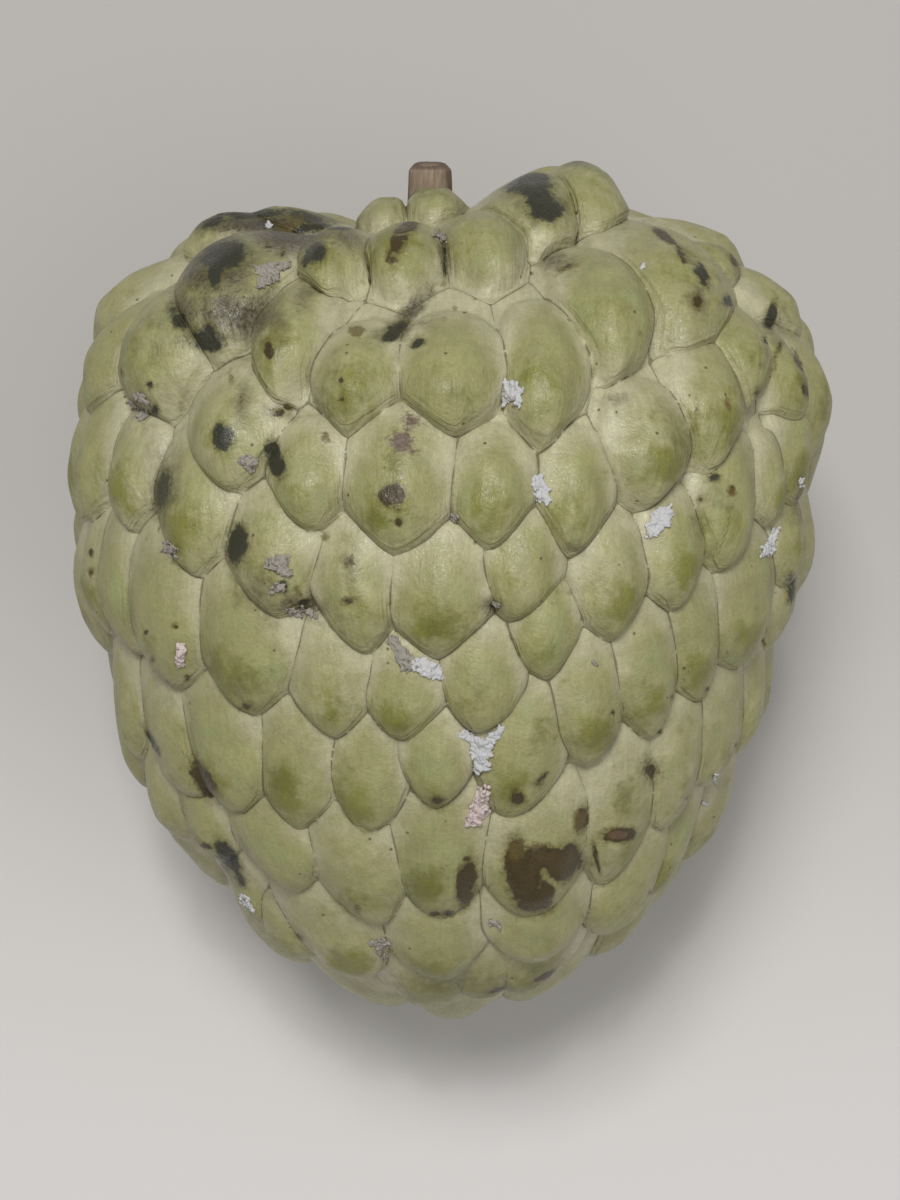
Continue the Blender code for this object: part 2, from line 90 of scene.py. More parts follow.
# Each scale in view, row by row from the stem end down to the tip, in pixels of a 900 x 1200 picture: its
# middle and, where it faces the eye, its lower tip and its width.
SCALE_ROWS: dict[str, tuple[Scale, ...]] = {
    "by the stem": ((381, 195, 380, 221, 42), (430, 187, 434, 212, 44)),
    "stem end": (
        (403, 222, 393, 330, 86), (479, 214, 508, 334, 84), (331, 228, 320, 312, 62),
        (531, 178, 554, 268, 98), (590, 146, 612, 222, 114), (308, 198), (221, 250, 210, 350, 100),
        (242, 200), (152, 314, 150, 402, 76), (284, 306, 266, 404, 76), (106, 328),
    ),
    "shoulder": (
        (355, 352, 340, 432, 90), (452, 350, 450, 432, 110), (551, 340, 543, 460, 86),
        (614, 272, 623, 400, 88), (682, 242, 693, 352, 84), (730, 234, 732, 312, 52), (770, 268),
        (754, 326, 757, 404, 48), (820, 362), (793, 352),
    ),
    "first": (
        (220, 415, 220, 481, 88), (300, 465, 305, 530, 82), (395, 470, 390, 553, 116),
        (495, 475, 492, 548, 88), (585, 480, 575, 555, 78), (660, 430, 655, 505, 84),
        (727, 376, 715, 475, 64), (118, 455, 116, 527, 42), (85, 440), (783, 470, 782, 526, 28),
        (808, 435),
    ),
    "second": (
        (180, 490, 186, 577, 78), (262, 545, 272, 620, 92), (348, 580, 360, 655, 84),
        (440, 590, 435, 660, 104), (530, 560, 515, 622, 80), (620, 570, 618, 642, 76),
        (685, 540, 680, 612, 62), (742, 490, 730, 573, 60), (800, 520), (83, 560), (102, 575),
    ),
    "third": (
        (150, 610, 168, 692, 76), (232, 640, 245, 719, 102), (322, 680, 330, 745, 88),
        (402, 695, 398, 748, 80), (485, 680, 482, 738, 86), (553, 625, 552, 682, 70),
        (760, 600, 748, 660, 52), (795, 585), (118, 690),
    ),
    "fourth": (
        (212, 745, 240, 819, 84), (285, 765, 292, 838, 84), (363, 780, 365, 843, 80),
        (435, 765, 437, 818, 74), (530, 750, 510, 828, 94), (595, 700, 598, 770, 76),
        (655, 670, 660, 742, 66), (707, 635, 710, 704, 52), (760, 690), (158, 740, 186, 784, 50),
    ),
    "fifth": (
        (265, 850, 300, 900, 80), (350, 870, 380, 932, 98), (440, 860, 440, 930, 104),
        (545, 860, 528, 925, 108), (630, 815, 604, 901, 70), (690, 760, 668, 838, 54),
        (732, 725, 716, 790, 42), (150, 790), (192, 820),
    ),
    "sixth": (
        (325, 940, 370, 981, 104), (435, 950, 440, 985, 106), (545, 925, 540, 963, 116),
        (642, 885, 600, 935, 60), (680, 848), (235, 890), (268, 925),
    ),
    "tip": ((420, 995), (490, 985), (545, 970)),
}


class Stain(Enum):
    """The kinds of mark on the skin, each the name of its field on the mesh."""

    BLACK = "stain_black"
    BROWN = "stain_brown"
    RUST = "stain_rust"
    SOOT = "stain_soot"
    PURPLE = "stain_purple"
    OLIVE_AND_SHADE = "stain_olive"
    SCAR = "stain_scar"


# The marks in view, in the same pixels, by how strong they are: middle x and y, half length, half width and,
# where its length isn't level, the degrees that it is turned up.
STAINS: dict[Stain, dict[float, tuple[tuple[int, ...], ...]]] = {
    Stain.BLACK: {
        1.0: (
            (525, 183, 25, 12, -8), (536, 198, 10, 12), (546, 209, 17, 12, 5), (223, 256, 21, 14, 10),
            (210, 338, 15, 12), (316, 253, 10, 9, 60), (395, 331, 13, 6, 40), (222, 437, 9, 12),
            (275, 460, 8, 17, 15), (237, 545, 9, 18, -8), (228, 856, 7, 17, 35),
        ),
        0.9: (
            (418, 343, 7, 4, 30), (770, 318, 5, 17, -15), (240, 879, 4, 8, 30), (155, 410, 4, 5),
            (305, 262, 4, 5), (250, 214, 34, 5, 3), (305, 217, 20, 5, -15),
        ),
        0.8: (
            (214, 276, 7, 14, 10), (310, 228, 22, 5, 10), (703, 275, 5, 14, 20), (728, 301, 6, 6),
            (613, 173, 10, 4, -35), (766, 341, 3, 6), (714, 478, 6, 5), (152, 741, 3, 16, 30),
            (297, 938, 5, 4), (150, 385, 4, 4), (333, 224, 16, 6, -20), (212, 222, 14, 6, 25),
            (448, 913, 6, 3), (283, 586, 5, 6), (493, 605, 4, 4),
        ),
        0.75: ((163, 490, 8, 22, -10),),
        0.7: ((363, 286, 3, 8), (445, 262, 2, 20), (178, 318, 8, 14, 30), (304, 603, 8, 4, 20)),
        0.6: ((791, 588, 6, 18),),
    },
    Stain.BROWN: {
        1.0: (
            (392, 495, 12, 11, 30), (546, 858, 32, 11, -5), (571, 858, 11, 13), (560, 868, 12, 14, 30),
            (526, 886, 16, 20), (534, 903, 18, 8, 5), (466, 882, 9, 23, -8), (618, 835, 16, 7, 3),
            (405, 231, 14, 7, 35),
        ),
        0.95: ((397, 246, 6, 13, 5),),
        0.9: (
            (399, 522, 4, 5), (407, 1003, 15, 3, -25), (548, 975, 16, 3, 25), (516, 862, 11, 24),
            (546, 892, 9, 10), (532, 872, 10, 12), (596, 856, 2, 17, 14), (203, 779, 9, 20, 30),
            (391, 263, 5, 14, 8), (664, 236, 14, 4, -35),
        ),
        0.8: (
            (581, 820, 7, 14, -10), (269, 349, 5, 11, 10), (279, 412, 7, 4, 20), (289, 407, 5, 3, -15),
            (517, 797, 7, 9, 30),
        ),
        0.7: (
            (497, 990, 12, 3, 15), (697, 302, 6, 9), (350, 562, 5, 7), (349, 601, 9, 5, 10),
            (735, 262, 4, 12, 25), (797, 355, 4, 18, 20), (805, 388, 4, 14, 20), (758, 395, 4, 8, 10),
            (683, 256, 4, 16, 30), (345, 226, 16, 6, 10), (341, 381, 3, 4), (343, 398, 3, 4),
            (320, 965, 10, 3, -20), (404, 998, 12, 3, -20), (293, 363, 3, 3), (455, 308, 2, 3),
            (465, 312, 2, 2), (613, 712, 3, 3), (672, 697, 3, 3), (660, 732, 3, 3), (708, 690, 3, 3),
            (737, 745, 3, 3), (687, 798, 3, 3), (651, 893, 3, 3), (187, 678, 3, 4), (146, 632, 3, 3),
            (152, 660, 3, 4), (167, 683, 3, 3), (175, 626, 4, 3), (91, 553, 3, 5), (91, 572, 3, 5),
            (120, 373, 4, 5),
        ),
        0.6: (
            (398, 508, 4, 8), (268, 248, 4, 10), (283, 252, 4, 8, -20), (732, 490, 4, 6),
            (780, 345, 3, 20, -20), (438, 801, 9, 6), (541, 780, 4, 12, -40), (435, 914, 7, 3),
            (697, 410, 3, 7), (206, 846, 9, 4, -20), (357, 908, 4, 4), (700, 500, 4, 5),
        ),
        0.55: ((650, 770, 11, 14),),
        0.5: (
            (217, 858, 14, 5, 30), (247, 706, 8, 6), (565, 268, 14, 4, 20), (231, 378, 3, 9),
            (241, 401, 3, 8),
        ),
    },
    Stain.SCAR: {
        1.0: ((618, 835, 11, 4, 3),),
    },
    Stain.RUST: {
        1.0: ((356, 331, 8, 5, -5),),
        0.8: ((516, 850, 9, 11), (580, 820, 6, 11, -10)),
        0.7: ((325, 440, 6, 8), (732, 492, 6, 6), (325, 537, 7, 5)),
        0.6: ((536, 845, 8, 5), (180, 660, 6, 12, 5), (290, 225, 20, 10, 20)),
        0.5: (
            (640, 335, 8, 6, 20), (160, 525, 10, 10), (728, 405, 5, 10, 20), (296, 592, 12, 8, 20),
            (775, 362, 5, 12),
        ),
        0.4: ((452, 868, 12, 10), (335, 240, 10, 14)),
        0.3: ((404, 695, 9, 7),),
    },
    Stain.SOOT: {
        1.0: (
            (240, 285, 60, 44, 25), (262, 222, 66, 12), (215, 262, 36, 30, 20), (290, 232, 38, 20, 5),
        ),
        0.8: ((302, 607, 24, 9, -10), (410, 314, 26, 9, 50), (235, 315, 46, 26)),
        0.7: ((697, 300, 10, 14),),
        0.65: ((492, 606, 12, 9),),
        0.6: (
            (580, 160, 24, 8), (443, 252, 6, 28), (281, 410, 20, 9), (556, 262, 20, 9),
            (430, 290, 14, 6, 60), (185, 310, 20, 26, 20), (345, 238, 22, 14), (165, 485, 16, 28, -10),
            (803, 505, 10, 26), (395, 330, 24, 12, 20),
        ),
        0.55: ((576, 548, 14, 9), (196, 330, 26, 12, 20)),
        0.5: (
            # (410, 1004), over the fruit's tip, darkens it as painted shade as well as soot.
            (243, 398, 9, 26), (290, 612, 40, 5, -20), (410, 1004, 26, 6, -20), (350, 565, 14, 16),
            (262, 590, 26, 22, -35), (208, 340, 22, 16),
        ),
        0.45: (
            (300, 300, 12, 28, -25), (616, 398, 18, 8), (775, 330, 14, 30, -15), (225, 870, 18, 26, 35),
        ),
        0.4: ((420, 325, 22, 12, 10), (141, 405, 16, 22)),
        0.35: ((160, 330, 14, 28), (720, 500, 20, 12, -20), (525, 195, 34, 26)),
        0.25: ((335, 372, 8, 30),),
    },
    Stain.PURPLE: {
        1.0: ((402, 441, 11, 10, 10),),
        0.8: ((411, 420, 11, 7, -10),),
        0.5: ((412, 450, 8, 12, 40), (222, 257, 22, 16, 10)),
        0.4: ((178, 312, 12, 16, 20),),
        0.35: ((650, 768, 12, 10),),
    },
    Stain.OLIVE_AND_SHADE: {
        # Dark olive patches, partly the skin's colour and partly painted shade. The three long ones at 1.0
        # and (470, 985) lie over the fruit's tip and are painted shade, where the tip turns away from the
        # light.
        1.0: ((470, 1000, 110, 28), (430, 1000, 48, 14), (545, 978, 46, 14, 22)),
        0.9: ((445, 625, 30, 20, 10), (425, 885, 22, 20)),
        0.8: (
            (395, 455, 26, 12, 90), (376, 520, 16, 14), (625, 800, 16, 22), (605, 735, 14, 22),
            (690, 440, 20, 34), (245, 680, 24, 20), (285, 780, 20, 22),
        ),
        0.7: (
            (470, 985, 30, 12), (340, 398, 30, 26), (350, 900, 20, 16), (215, 668, 12, 10),
            (700, 525, 12, 24), (515, 790, 22, 16),
        ),
        0.6: (
            (455, 395, 30, 20), (540, 735, 14, 30, -10), (340, 710, 16, 20), (560, 590, 16, 16),
            (200, 760, 14, 18, 20), (435, 800, 18, 14), (730, 440, 14, 20), (350, 615, 20, 16),
        ),
        0.5: (
            (425, 522, 14, 14), (262, 360, 26, 30), (185, 400, 12, 20, 20), (655, 415, 24, 20),
            (400, 730, 22, 14), (480, 690, 18, 22), (665, 345, 22, 14), (630, 600, 14, 20),
            (190, 775, 14, 18, 20), (240, 590, 20, 12, -30), (710, 550, 10, 20),
        ),
        0.4: ((268, 525, 12, 20), (545, 915, 28, 10), (405, 290, 20, 20), (540, 215, 20, 18)),
        0.3: ((365, 860, 12, 8), (560, 310, 10, 30)),
    },
}


class Wax(Enum):
    """The kinds of tuft, each the value of its tint: clean, dusty or pink."""

    CLEAN = 0.0
    DUSTY = 0.5
    PINK = 1.0


# The tufts of wax, in the same pixels: strokes of (x, y, x, y, width).
TUFTS: dict[str, tuple[Wax, tuple[tuple[float, ...], ...]]] = {
    "big fork": (Wax.CLEAN, (
        (463, 733, 478, 744, 11), (502, 727, 488, 744, 9), (476, 748, 484, 766, 18),
        (480, 742, 487, 752, 16),
    )),
    "pink slug": (Wax.PINK, ((484, 790, 472, 820, 13), (481, 795, 481, 812, 15))),
    "long strip": (Wax.DUSTY, ((391, 638, 411, 664, 12), (398, 652, 408, 668, 12))),
    "strip's lump": (Wax.CLEAN, ((418, 664, 438, 672, 15), (424, 672, 440, 674, 10))),
    "round": (Wax.CLEAN, ((510, 388, 514, 399, 20), (507, 395, 520, 392, 12))),
    "middle": (Wax.CLEAN, ((535, 478, 545, 496, 15), (538, 492, 546, 500, 12), (533, 482, 540, 480, 8))),
    "right": (Wax.CLEAN, ((650, 532, 668, 514, 14), (655, 520, 664, 512, 14), (652, 528, 655, 534, 8))),
    "far right": (Wax.CLEAN, ((776, 530, 764, 556, 9), (772, 545, 764, 552, 12))),
    "pink by the left": (Wax.PINK, ((182, 646, 180, 664, 8),)),
    "left crumb": (Wax.DUSTY, ((245, 465, 254, 458, 10), (243, 460, 254, 468, 11))),
    "left shoulder": (Wax.DUSTY, (
        (272, 565, 286, 560, 14), (270, 562, 288, 572, 12), (273, 590, 281, 586, 9),
    )),
    "left dusty": (Wax.DUSTY, ((166, 546, 176, 553, 11),)),
    "sooty crust": (Wax.DUSTY, (
        (256, 272, 282, 266, 10), (262, 284, 276, 274, 14), (280, 270, 290, 264, 6),
    )),
    "left limb": (Wax.DUSTY, ((136, 395, 148, 404, 9), (140, 418, 146, 412, 10), (130, 402, 138, 408, 7))),
    "by the stem": (Wax.DUSTY, ((434, 234, 446, 240, 7),)),
    "ring": (Wax.DUSTY, ((451, 516, 457, 519, 8),)),
    "low strings": (Wax.DUSTY, ((371, 940, 380, 948, 7), (378, 938, 388, 944, 6), (378, 950, 386, 958, 6))),
    "low left": (Wax.CLEAN, ((243, 897, 252, 908, 9),)),
    "low right": (Wax.CLEAN, ((715, 772, 716, 782, 6), (703, 802, 706, 804, 4))),
    "brown crust": (Wax.DUSTY, ((288, 610, 300, 614, 8), (302, 608, 316, 616, 7))),
    "dots": (Wax.CLEAN, ((642, 265, 644, 268, 5), (800, 478, 801, 486, 5), (267, 224, 270, 227, 6))),
    "low dots": (Wax.DUSTY, ((494, 604, 498, 606, 6), (490, 922, 498, 924, 8), (593, 662, 596, 664, 4))),
}


def unit(vectors: np.ndarray) -> np.ndarray:
    """Return the vectors at length 1."""
    return vectors / np.linalg.norm(vectors, axis=-1, keepdims=True)


def smooth(value: np.ndarray, low: float, high: float | np.ndarray) -> np.ndarray:
    """Return 0 below low, 1 above high and a smooth step between."""
    share = np.clip((value - low) / (high - low), 0.0, 1.0)
    return share * share * (3.0 - 2.0 * share)


def lumps(points: np.ndarray, size: float, seed: int) -> np.ndarray:
    """Return smooth noise from -1 to 1.

    Args:
        points: Where to read it, one row a point.
        size: How far apart its lumps are, in metres.
        seed: Which noise it is.

    Returns:
        One value a point.
    """
    cell = points / size + seed * 17.31
    base = np.floor(cell).astype(np.int64)
    part = cell - base
    part = part * part * (3.0 - 2.0 * part)
    total = np.zeros(len(points))
    for corner in product((0, 1), repeat=3):
        index = base + np.array(corner)
        mixed = np.bitwise_xor.reduce(index * SCRAMBLE, axis=1) ^ (seed * 7919)
        mixed = ((mixed ^ (mixed >> 13)) * 1274126177) & 0xFFFFFFFF
        value = ((mixed ^ (mixed >> 16)) & 0xFFFF) / 32767.5 - 1.0
        total += value * np.where(np.array(corner) == 1, part, 1.0 - part).prod(axis=1)
    return total


@dataclass
class Body:
    """The smooth body of the fruit, through the tops of its scales, in the fruit's own frame.

    +X is to its right, +Y up its stem and +Z out of its front.
    """

    right: Flank = RIGHT_FLANK
    left: Flank = LEFT_FLANK
    front: Flank = FRONT_FLANK
    back: Flank = BACK_FLANK

    @staticmethod
    def radius(flank: Flank, angle: np.ndarray) -> np.ndarray:
        """Return the radius of one flank, by a smooth curve that is level at both ends.

        Args:
            flank: The flank.
            angle: Angles from the stem end, in radians.

        Returns:
            One radius an angle.
        """
        angles = np.radians([point[0] for point in flank])
        radii = np.array([point[1] for point in flank]) * MM
        slopes = np.gradient(radii, angles)
        slopes[0] = 0.0
        slopes[-1] = 0.0
        place = np.clip(np.searchsorted(angles, angle) - 1, 0, len(angles) - 2)
        span = angles[place + 1] - angles[place]
        t = (angle - angles[place]) / span
        start = radii[place] * (2 * t**3 - 3 * t**2 + 1) + slopes[place] * span * (t**3 - 2 * t**2 + t)
        return start + radii[place + 1] * (3 * t**2 - 2 * t**3) + slopes[place + 1] * span * (t**3 - t**2)

    def on(self, directions: np.ndarray) -> np.ndarray:
        """Return the points of the body in these directions from its middle, one row a direction."""
        directions = unit(directions)
        angle = np.arccos(np.clip(directions[:, 1], -1.0, 1.0))
        around = np.hypot(directions[:, 0], directions[:, 2]) + 1e-9
        sideways = (directions[:, 0] / around) ** 2
        side = np.where(directions[:, 0] > 0, self.radius(self.right, angle), self.radius(self.left, angle))
        depth = np.where(directions[:, 2] > 0, self.radius(self.front, angle), self.radius(self.back, angle))
        return directions * (side * sideways + depth * (1.0 - sideways))[:, None]

    @staticmethod
    def tangents(points: np.ndarray) -> tuple[np.ndarray, np.ndarray]:
        """Return the unit vectors across the body and down it towards the tip, at these points."""
        outward = unit(points)
        down = unit(-np.array([0.0, 1.0, 0.0]) + outward * outward[:, 1:2] + 1e-9)
        return np.cross(down, outward), down


@dataclass
class Eye:
    """The eye that the rows of pixels were read by, in the fruit's own frame."""

    distance: float = 260.0 * MM
    lean: float = math.radians(8.0)
    focal_pixels: float = 2004.0
    picture_middle: tuple[float, float] = (450.0, 600.0)
    fruit_middle: tuple[float, float] = (450.0, 560.0)
    first_guess: float = 0.6
    sight_steps: int = 200

    @property
    def pixel(self) -> float:
        """Return the length that a pixel shows at the fruit's middle."""
        return self.distance / self.focal_pixels

    @property
    def to_eye(self) -> np.ndarray:
        """Return the unit vector from the picture's middle to the eye."""
        return np.array([0.0, math.sin(self.lean), math.cos(self.lean)])

    @property
    def up(self) -> np.ndarray:
        """Return the unit vector up the picture."""
        return np.array([0.0, math.cos(self.lean), -math.sin(self.lean)])

    @property
    def place(self) -> np.ndarray:
        """Return where the eye is."""
        below = (self.picture_middle[1] - self.fruit_middle[1]) * self.pixel
        return self.to_eye * self.distance - self.up * below

    def sights(self, pixels: Any) -> np.ndarray:
        """Return the unit directions of sight through these pixels."""
        pixels = np.array(pixels, dtype=float)
        across = np.outer(pixels[:, 0] - self.picture_middle[0], (1.0, 0.0, 0.0))
        upward = np.outer(self.picture_middle[1] - pixels[:, 1], self.up)
        return unit((across + upward) / self.focal_pixels - self.to_eye)

    def meet(self, body: Body, pixels: Any) -> np.ndarray:
        """Return where the sight lines through some pixels meet the smooth body.

        Args:
            body: The smooth body.
            pixels: The pixels.

        Returns:
            One point a pixel. A sight line that passes by gives the body's point nearest to it.
        """
        sight = self.sights(pixels)
        along = np.full(len(sight), self.distance * self.first_guess)
        nearest = -(sight @ self.place)
        for _ in range(self.sight_steps):
            points = self.place + sight * along[:, None]
            above = np.linalg.norm(points, axis=1) - np.linalg.norm(body.on(points), axis=1)
            along = np.minimum(along + 0.5 * np.maximum(above, 0.0), nearest)
        return body.on(self.place + sight * along[:, None])

    def pixels_of(self, points: np.ndarray) -> np.ndarray:
        """Return the pixels that these points show at, one row a point."""
        offset = points - self.place
        depth = -(offset @ self.to_eye)
        x = self.picture_middle[0] + offset[:, 0] / depth * self.focal_pixels
        y = self.picture_middle[1] - (offset @ self.up) / depth * self.focal_pixels
        return np.stack((x, y), axis=1)


@dataclass
class Scales:
    """The scales of the skin: where each grows, which way it points and how it stands out."""

    body: Body
    eye: Eye
    spacing: float = 11.8 * MM
    stretch: float = 1.40
    rise_ends: Ends = (1.6 * MM, 1.3 * MM)
    crown_ends: Ends = (2.2 * MM, 1.4 * MM)
    crown_middle: float = 0.26
    crown_half_width: float = 0.84
    crown_half_length: float = 0.78
    crown_root_length: float = 1.20
    crown_narrows: float = 0.22
    crown_top: float = 0.15
    lip_ends: Ends = (2.0 * MM, 1.2 * MM)
    lip_turns_up: float = 0.25
    groove_floor: float = -0.6 * MM
    dome_power: float = 8.5
    lip_power: float = 1.5
    root_power: float = 2.1
    overlap: float = 0.60
    tip_cover_ends: Ends = (0.86, 1.02)
    width_cover: float = 1.2
    shortest_root: tuple[float, float] = (0.9, 0.95)
    seen_size_range: tuple[float, float] = (0.75, 1.3)
    spacing_range: tuple[float, float] = (0.55, 1.25)
    boldness_range: tuple[float, float] = (0.4, 1.2)
    boldness_power: float = 0.6
    boldness_varies: float = 0.12
    turns: float = 0.10
    seed: int = 11
    away_from_eye: float = 0.35
    clear_of_rows: float = 0.72
    room: float = 1.15
    pushes: int = 80
    push_share: float = 0.12
    wobble: float = 0.35 * MM
    wobble_size: float = 4.5 * MM
    neighbours: int = 14

    def __post_init__(self) -> None:
        """Grow the scales."""
        self.grow()

    def metric(self, points: np.ndarray, others: np.ndarray) -> tuple[np.ndarray, np.ndarray, np.ndarray]:
        """Measure from each point to each other one, as far down a scale's length as across its width.

        Args:
            points: The points.
            others: The other ones.

        Returns:
            The offsets across and down, and the distance, one row a point and one column an other one.
        """
        across, down = self.body.tangents(points)
        offset = others[None, :, :] - points[:, None, :]
        sideways = np.einsum("ijk,ik->ij", offset, across)
        downward = np.einsum("ijk,ik->ij", offset, down) / self.stretch
        facing = unit(points) @ unit(others).T
        return sideways, downward, np.where(facing > 0.0, np.hypot(sideways, downward), 1.0)

    def spiral(self) -> np.ndarray:
        """Return seeds in a spiral from the stem end to the tip, each a golden angle on from the last."""
        angle = np.linspace(0.0, math.pi, 721)
        flanks = (self.body.right, self.body.left, self.body.front, self.body.back)
        radius = sum(self.body.radius(flank, angle) for flank in flanks) / 4.0
        profile = np.stack((radius * np.sin(angle), radius * np.cos(angle)), axis=1)
        step = np.linalg.norm(np.diff(profile, axis=0), axis=1)
        area = np.concatenate(([0.0], np.cumsum(step * math.pi * (profile[1:, 0] + profile[:-1, 0]))))
        count = int(area[-1] / (self.spacing**2 * self.stretch * math.sqrt(3.0) / 2.0))
        index = np.arange(count) + 0.5
        from_end = np.interp(index / count * area[-1], area, angle)
        turn = index * math.pi * (3.0 - math.sqrt(5.0))
        sine = np.sin(from_end)
        return self.body.on(np.stack((sine * np.cos(turn), np.cos(from_end), sine * np.sin(turn)), axis=1))

    def out_of_view(self, fixed: np.ndarray) -> np.ndarray:
        """Return the seeds out of view: those of the spiral, spread out evenly.

        Args:
            fixed: The seeds in view, which stay where they are.

        Returns:
            The seeds, one row each.
        """
        free = self.spiral()
        hidden = unit(free) @ self.eye.to_eye < self.away_from_eye
        clear = self.metric(free, fixed)[2].min(axis=1) > self.clear_of_rows * self.spacing
        free = free[hidden & clear]
        room = self.room * self.spacing
        for _ in range(self.pushes):
            sideways, downward, distance = self.metric(free, np.concatenate((fixed, free)))
            near = (distance > 1e-6) & (distance < room)
            push = np.where(near, (room - distance) / np.maximum(distance, 1e-6), 0.0) * self.push_share
            across, down = self.body.tangents(free)
            free = free - across * (push * sideways).sum(axis=1)[:, None]
            free = self.body.on(free - down * (push * downward).sum(axis=1)[:, None] * self.stretch)
        return free

    @staticmethod
    def stem_to_tip(points: np.ndarray, ends: Ends) -> np.ndarray:
        """Return a value that goes smoothly from the one at the stem end to the one at the tip.

        Args:
            points: Points of the fruit.
            ends: Both values.

        Returns:
            One value a point.
        """
        share = np.clip(0.9 - unit(points)[:, 1] * 0.9, 0.0, 1.0)
        return ends[0] + (ends[1] - ends[0]) * share * share * (3.0 - 2.0 * share)

    def grow(self) -> None:
        """Set the arrays that hold the scales, one row a scale."""
        rows = [scale for row in SCALE_ROWS.values() for scale in row]
        in_view = self.eye.meet(self.body, [scale[:2] for scale in rows])
        seen = np.array([index for index, scale in enumerate(rows) if len(scale) == 5])
        tips = self.eye.meet(self.body, [rows[index][2:4] for index in seen])
        sides = [
            self.eye.meet(self.body, [(rows[i][0] + side * rows[i][4] / 2, rows[i][1]) for i in seen])
            for side in (-1, 1)
        ]
        seen_widths = np.linalg.norm(sides[1] - sides[0], axis=1) / 2.0
        middle = np.concatenate((in_view, self.out_of_view(in_view)))
        across, down = self.body.tangents(middle)
        distance = np.sort(self.metric(middle, middle)[2], axis=1)[:, 1:7].mean(axis=1)
        spacing = np.clip(distance / self.spacing, *self.spacing_range) * self.spacing
        draw = random.Random(self.seed)
        turn = np.array([draw.uniform(-self.turns, self.turns) for _ in middle])[:, None]
        vary = np.array([1.0 + draw.uniform(-self.boldness_varies, self.boldness_varies) for _ in middle])
        half_width = spacing * self.overlap
        root_length = half_width * self.stretch
        tip_length = root_length.copy()
        down = down * np.cos(turn) - across * np.sin(turn)
        outward = unit(middle)[seen]
        towards_tip = tips - middle[seen]
        towards_tip = towards_tip - outward * (towards_tip * outward).sum(axis=1)[:, None]
        down[seen] = unit(towards_tip)
        half_width[seen] *= np.clip(seen_widths * self.width_cover / half_width[seen], *self.seen_size_range)
        even_length = half_width[seen] * self.stretch
        cover = self.stem_to_tip(middle[seen], self.tip_cover_ends)
        seen_length = np.linalg.norm(towards_tip, axis=1) * cover
        tip_length[seen] = np.clip(seen_length / even_length, *self.seen_size_range) * even_length
        even_share, tip_share = self.shortest_root
        root_length[seen] = np.maximum(even_share * even_length, tip_share * tip_length[seen])
        boldness = np.clip(half_width / (self.overlap * self.spacing), *self.boldness_range)
        boldness = boldness**self.boldness_power * vary
        self.middle = middle
        self.down = down
        self.across = np.cross(down, unit(middle))
        self.half_width = half_width
        self.root_length = root_length
        self.tip_length = tip_length
        self.rise = self.stem_to_tip(middle, self.rise_ends) * boldness
        self.lift = self.stem_to_tip(middle, self.lip_ends) * boldness
        self.crown = self.stem_to_tip(middle, self.crown_ends) * boldness
        self.tone = np.array([draw.random() for _ in middle])

    def shares(self, points: np.ndarray, chosen: np.ndarray) -> tuple[np.ndarray, np.ndarray, np.ndarray]:
        """Return how far across, down and out towards its edge each point is on its chosen scale.

        Args:
            points: Points of the smooth body, one row a point.
            chosen: The scale of each point, or a table of scales, one row a point.

        Returns:
            The shares across and down, from -1 to 1 on the scale, and the reach, 0 in its middle and 1 at
            its edge.
        """
        if chosen.ndim == 2:
            points = points[:, None, :]
        offset = points - self.middle[chosen]
        across = (offset * self.across[chosen]).sum(axis=-1) / self.half_width[chosen]
        down = (offset * self.down[chosen]).sum(axis=-1)
        down = down / np.where(down > 0.0, self.tip_length[chosen], self.root_length[chosen])
        power = np.where(down > 0.0, self.lip_power, self.root_power)
        reach = (np.abs(across) ** power + np.abs(down) ** power) ** (1.0 / power)
        return across, down, reach

    def off_crown(self, across: np.ndarray, down: np.ndarray) -> np.ndarray:
        """Return how far a point is from the middle of its crown.

        Args:
            across: Its share across its scale.
            down: Its share down its scale.

        Returns:
            0 in the crown's middle and 1 at its foot.
        """
        half_width = self.crown_half_width * (1.0 - self.crown_narrows * down)
        below = down - self.crown_middle
        half_length = np.where(below > 0.0, self.crown_half_length, self.crown_root_length)
        return np.hypot(across / half_width, below / half_length)

    def height_on(self, points: np.ndarray, chosen: np.ndarray) -> np.ndarray:
        """Return how high the chosen scales are: each a flat dome with a proud lip and a round crown.

        Args:
            points: Points of the smooth body, one row a point.
            chosen: The scale of each point, or a table of scales, one row a point.

        Returns:
            The heights, in the form of chosen.
        """
        across, down, reach = self.shares(points, chosen)
        crown = self.crown[chosen] * smooth(self.off_crown(across, down), 1.0, self.crown_top)
        plate = self.rise[chosen] * (1.0 - reach**self.dome_power)
        return plate + crown + self.lift[chosen] * (1.0 - self.lip_turns_up * (1.0 - down)) * down

    def wander(self, points: np.ndarray) -> np.ndarray:
        """Return a small shift of each point, in lumps, so that no groove runs like a drawn curve."""
        shift = [lumps(points, self.wobble_size, seed) for seed in (1, 2, 3)]
        return np.stack(shift, axis=1) * self.wobble

    def near(self, points: np.ndarray) -> np.ndarray:
        """Return the scales that may be the highest at each point, one row a point."""
        nearness = unit(points) @ unit(self.middle).T
        return np.argpartition(-nearness, self.neighbours, axis=1)[:, : self.neighbours]

    def top_two(
        self, points: np.ndarray, near: np.ndarray
    ) -> tuple[np.ndarray, np.ndarray, np.ndarray, np.ndarray]:
        """Return the highest two scales at each point.

        Args:
            points: Points of the smooth body.
            near: The scales to choose from, one row a point.

        Returns:
            The highest scale and the second, and the heights of both.
        """
        heights = self.height_on(points, near)
        order = np.argsort(-heights, axis=1)[:, :2]
        rows = np.arange(len(points))[:, None]
        two = near[rows, order]
        heights = heights[rows, order]
        return two[:, 0], two[:, 1], heights[:, 0], heights[:, 1]

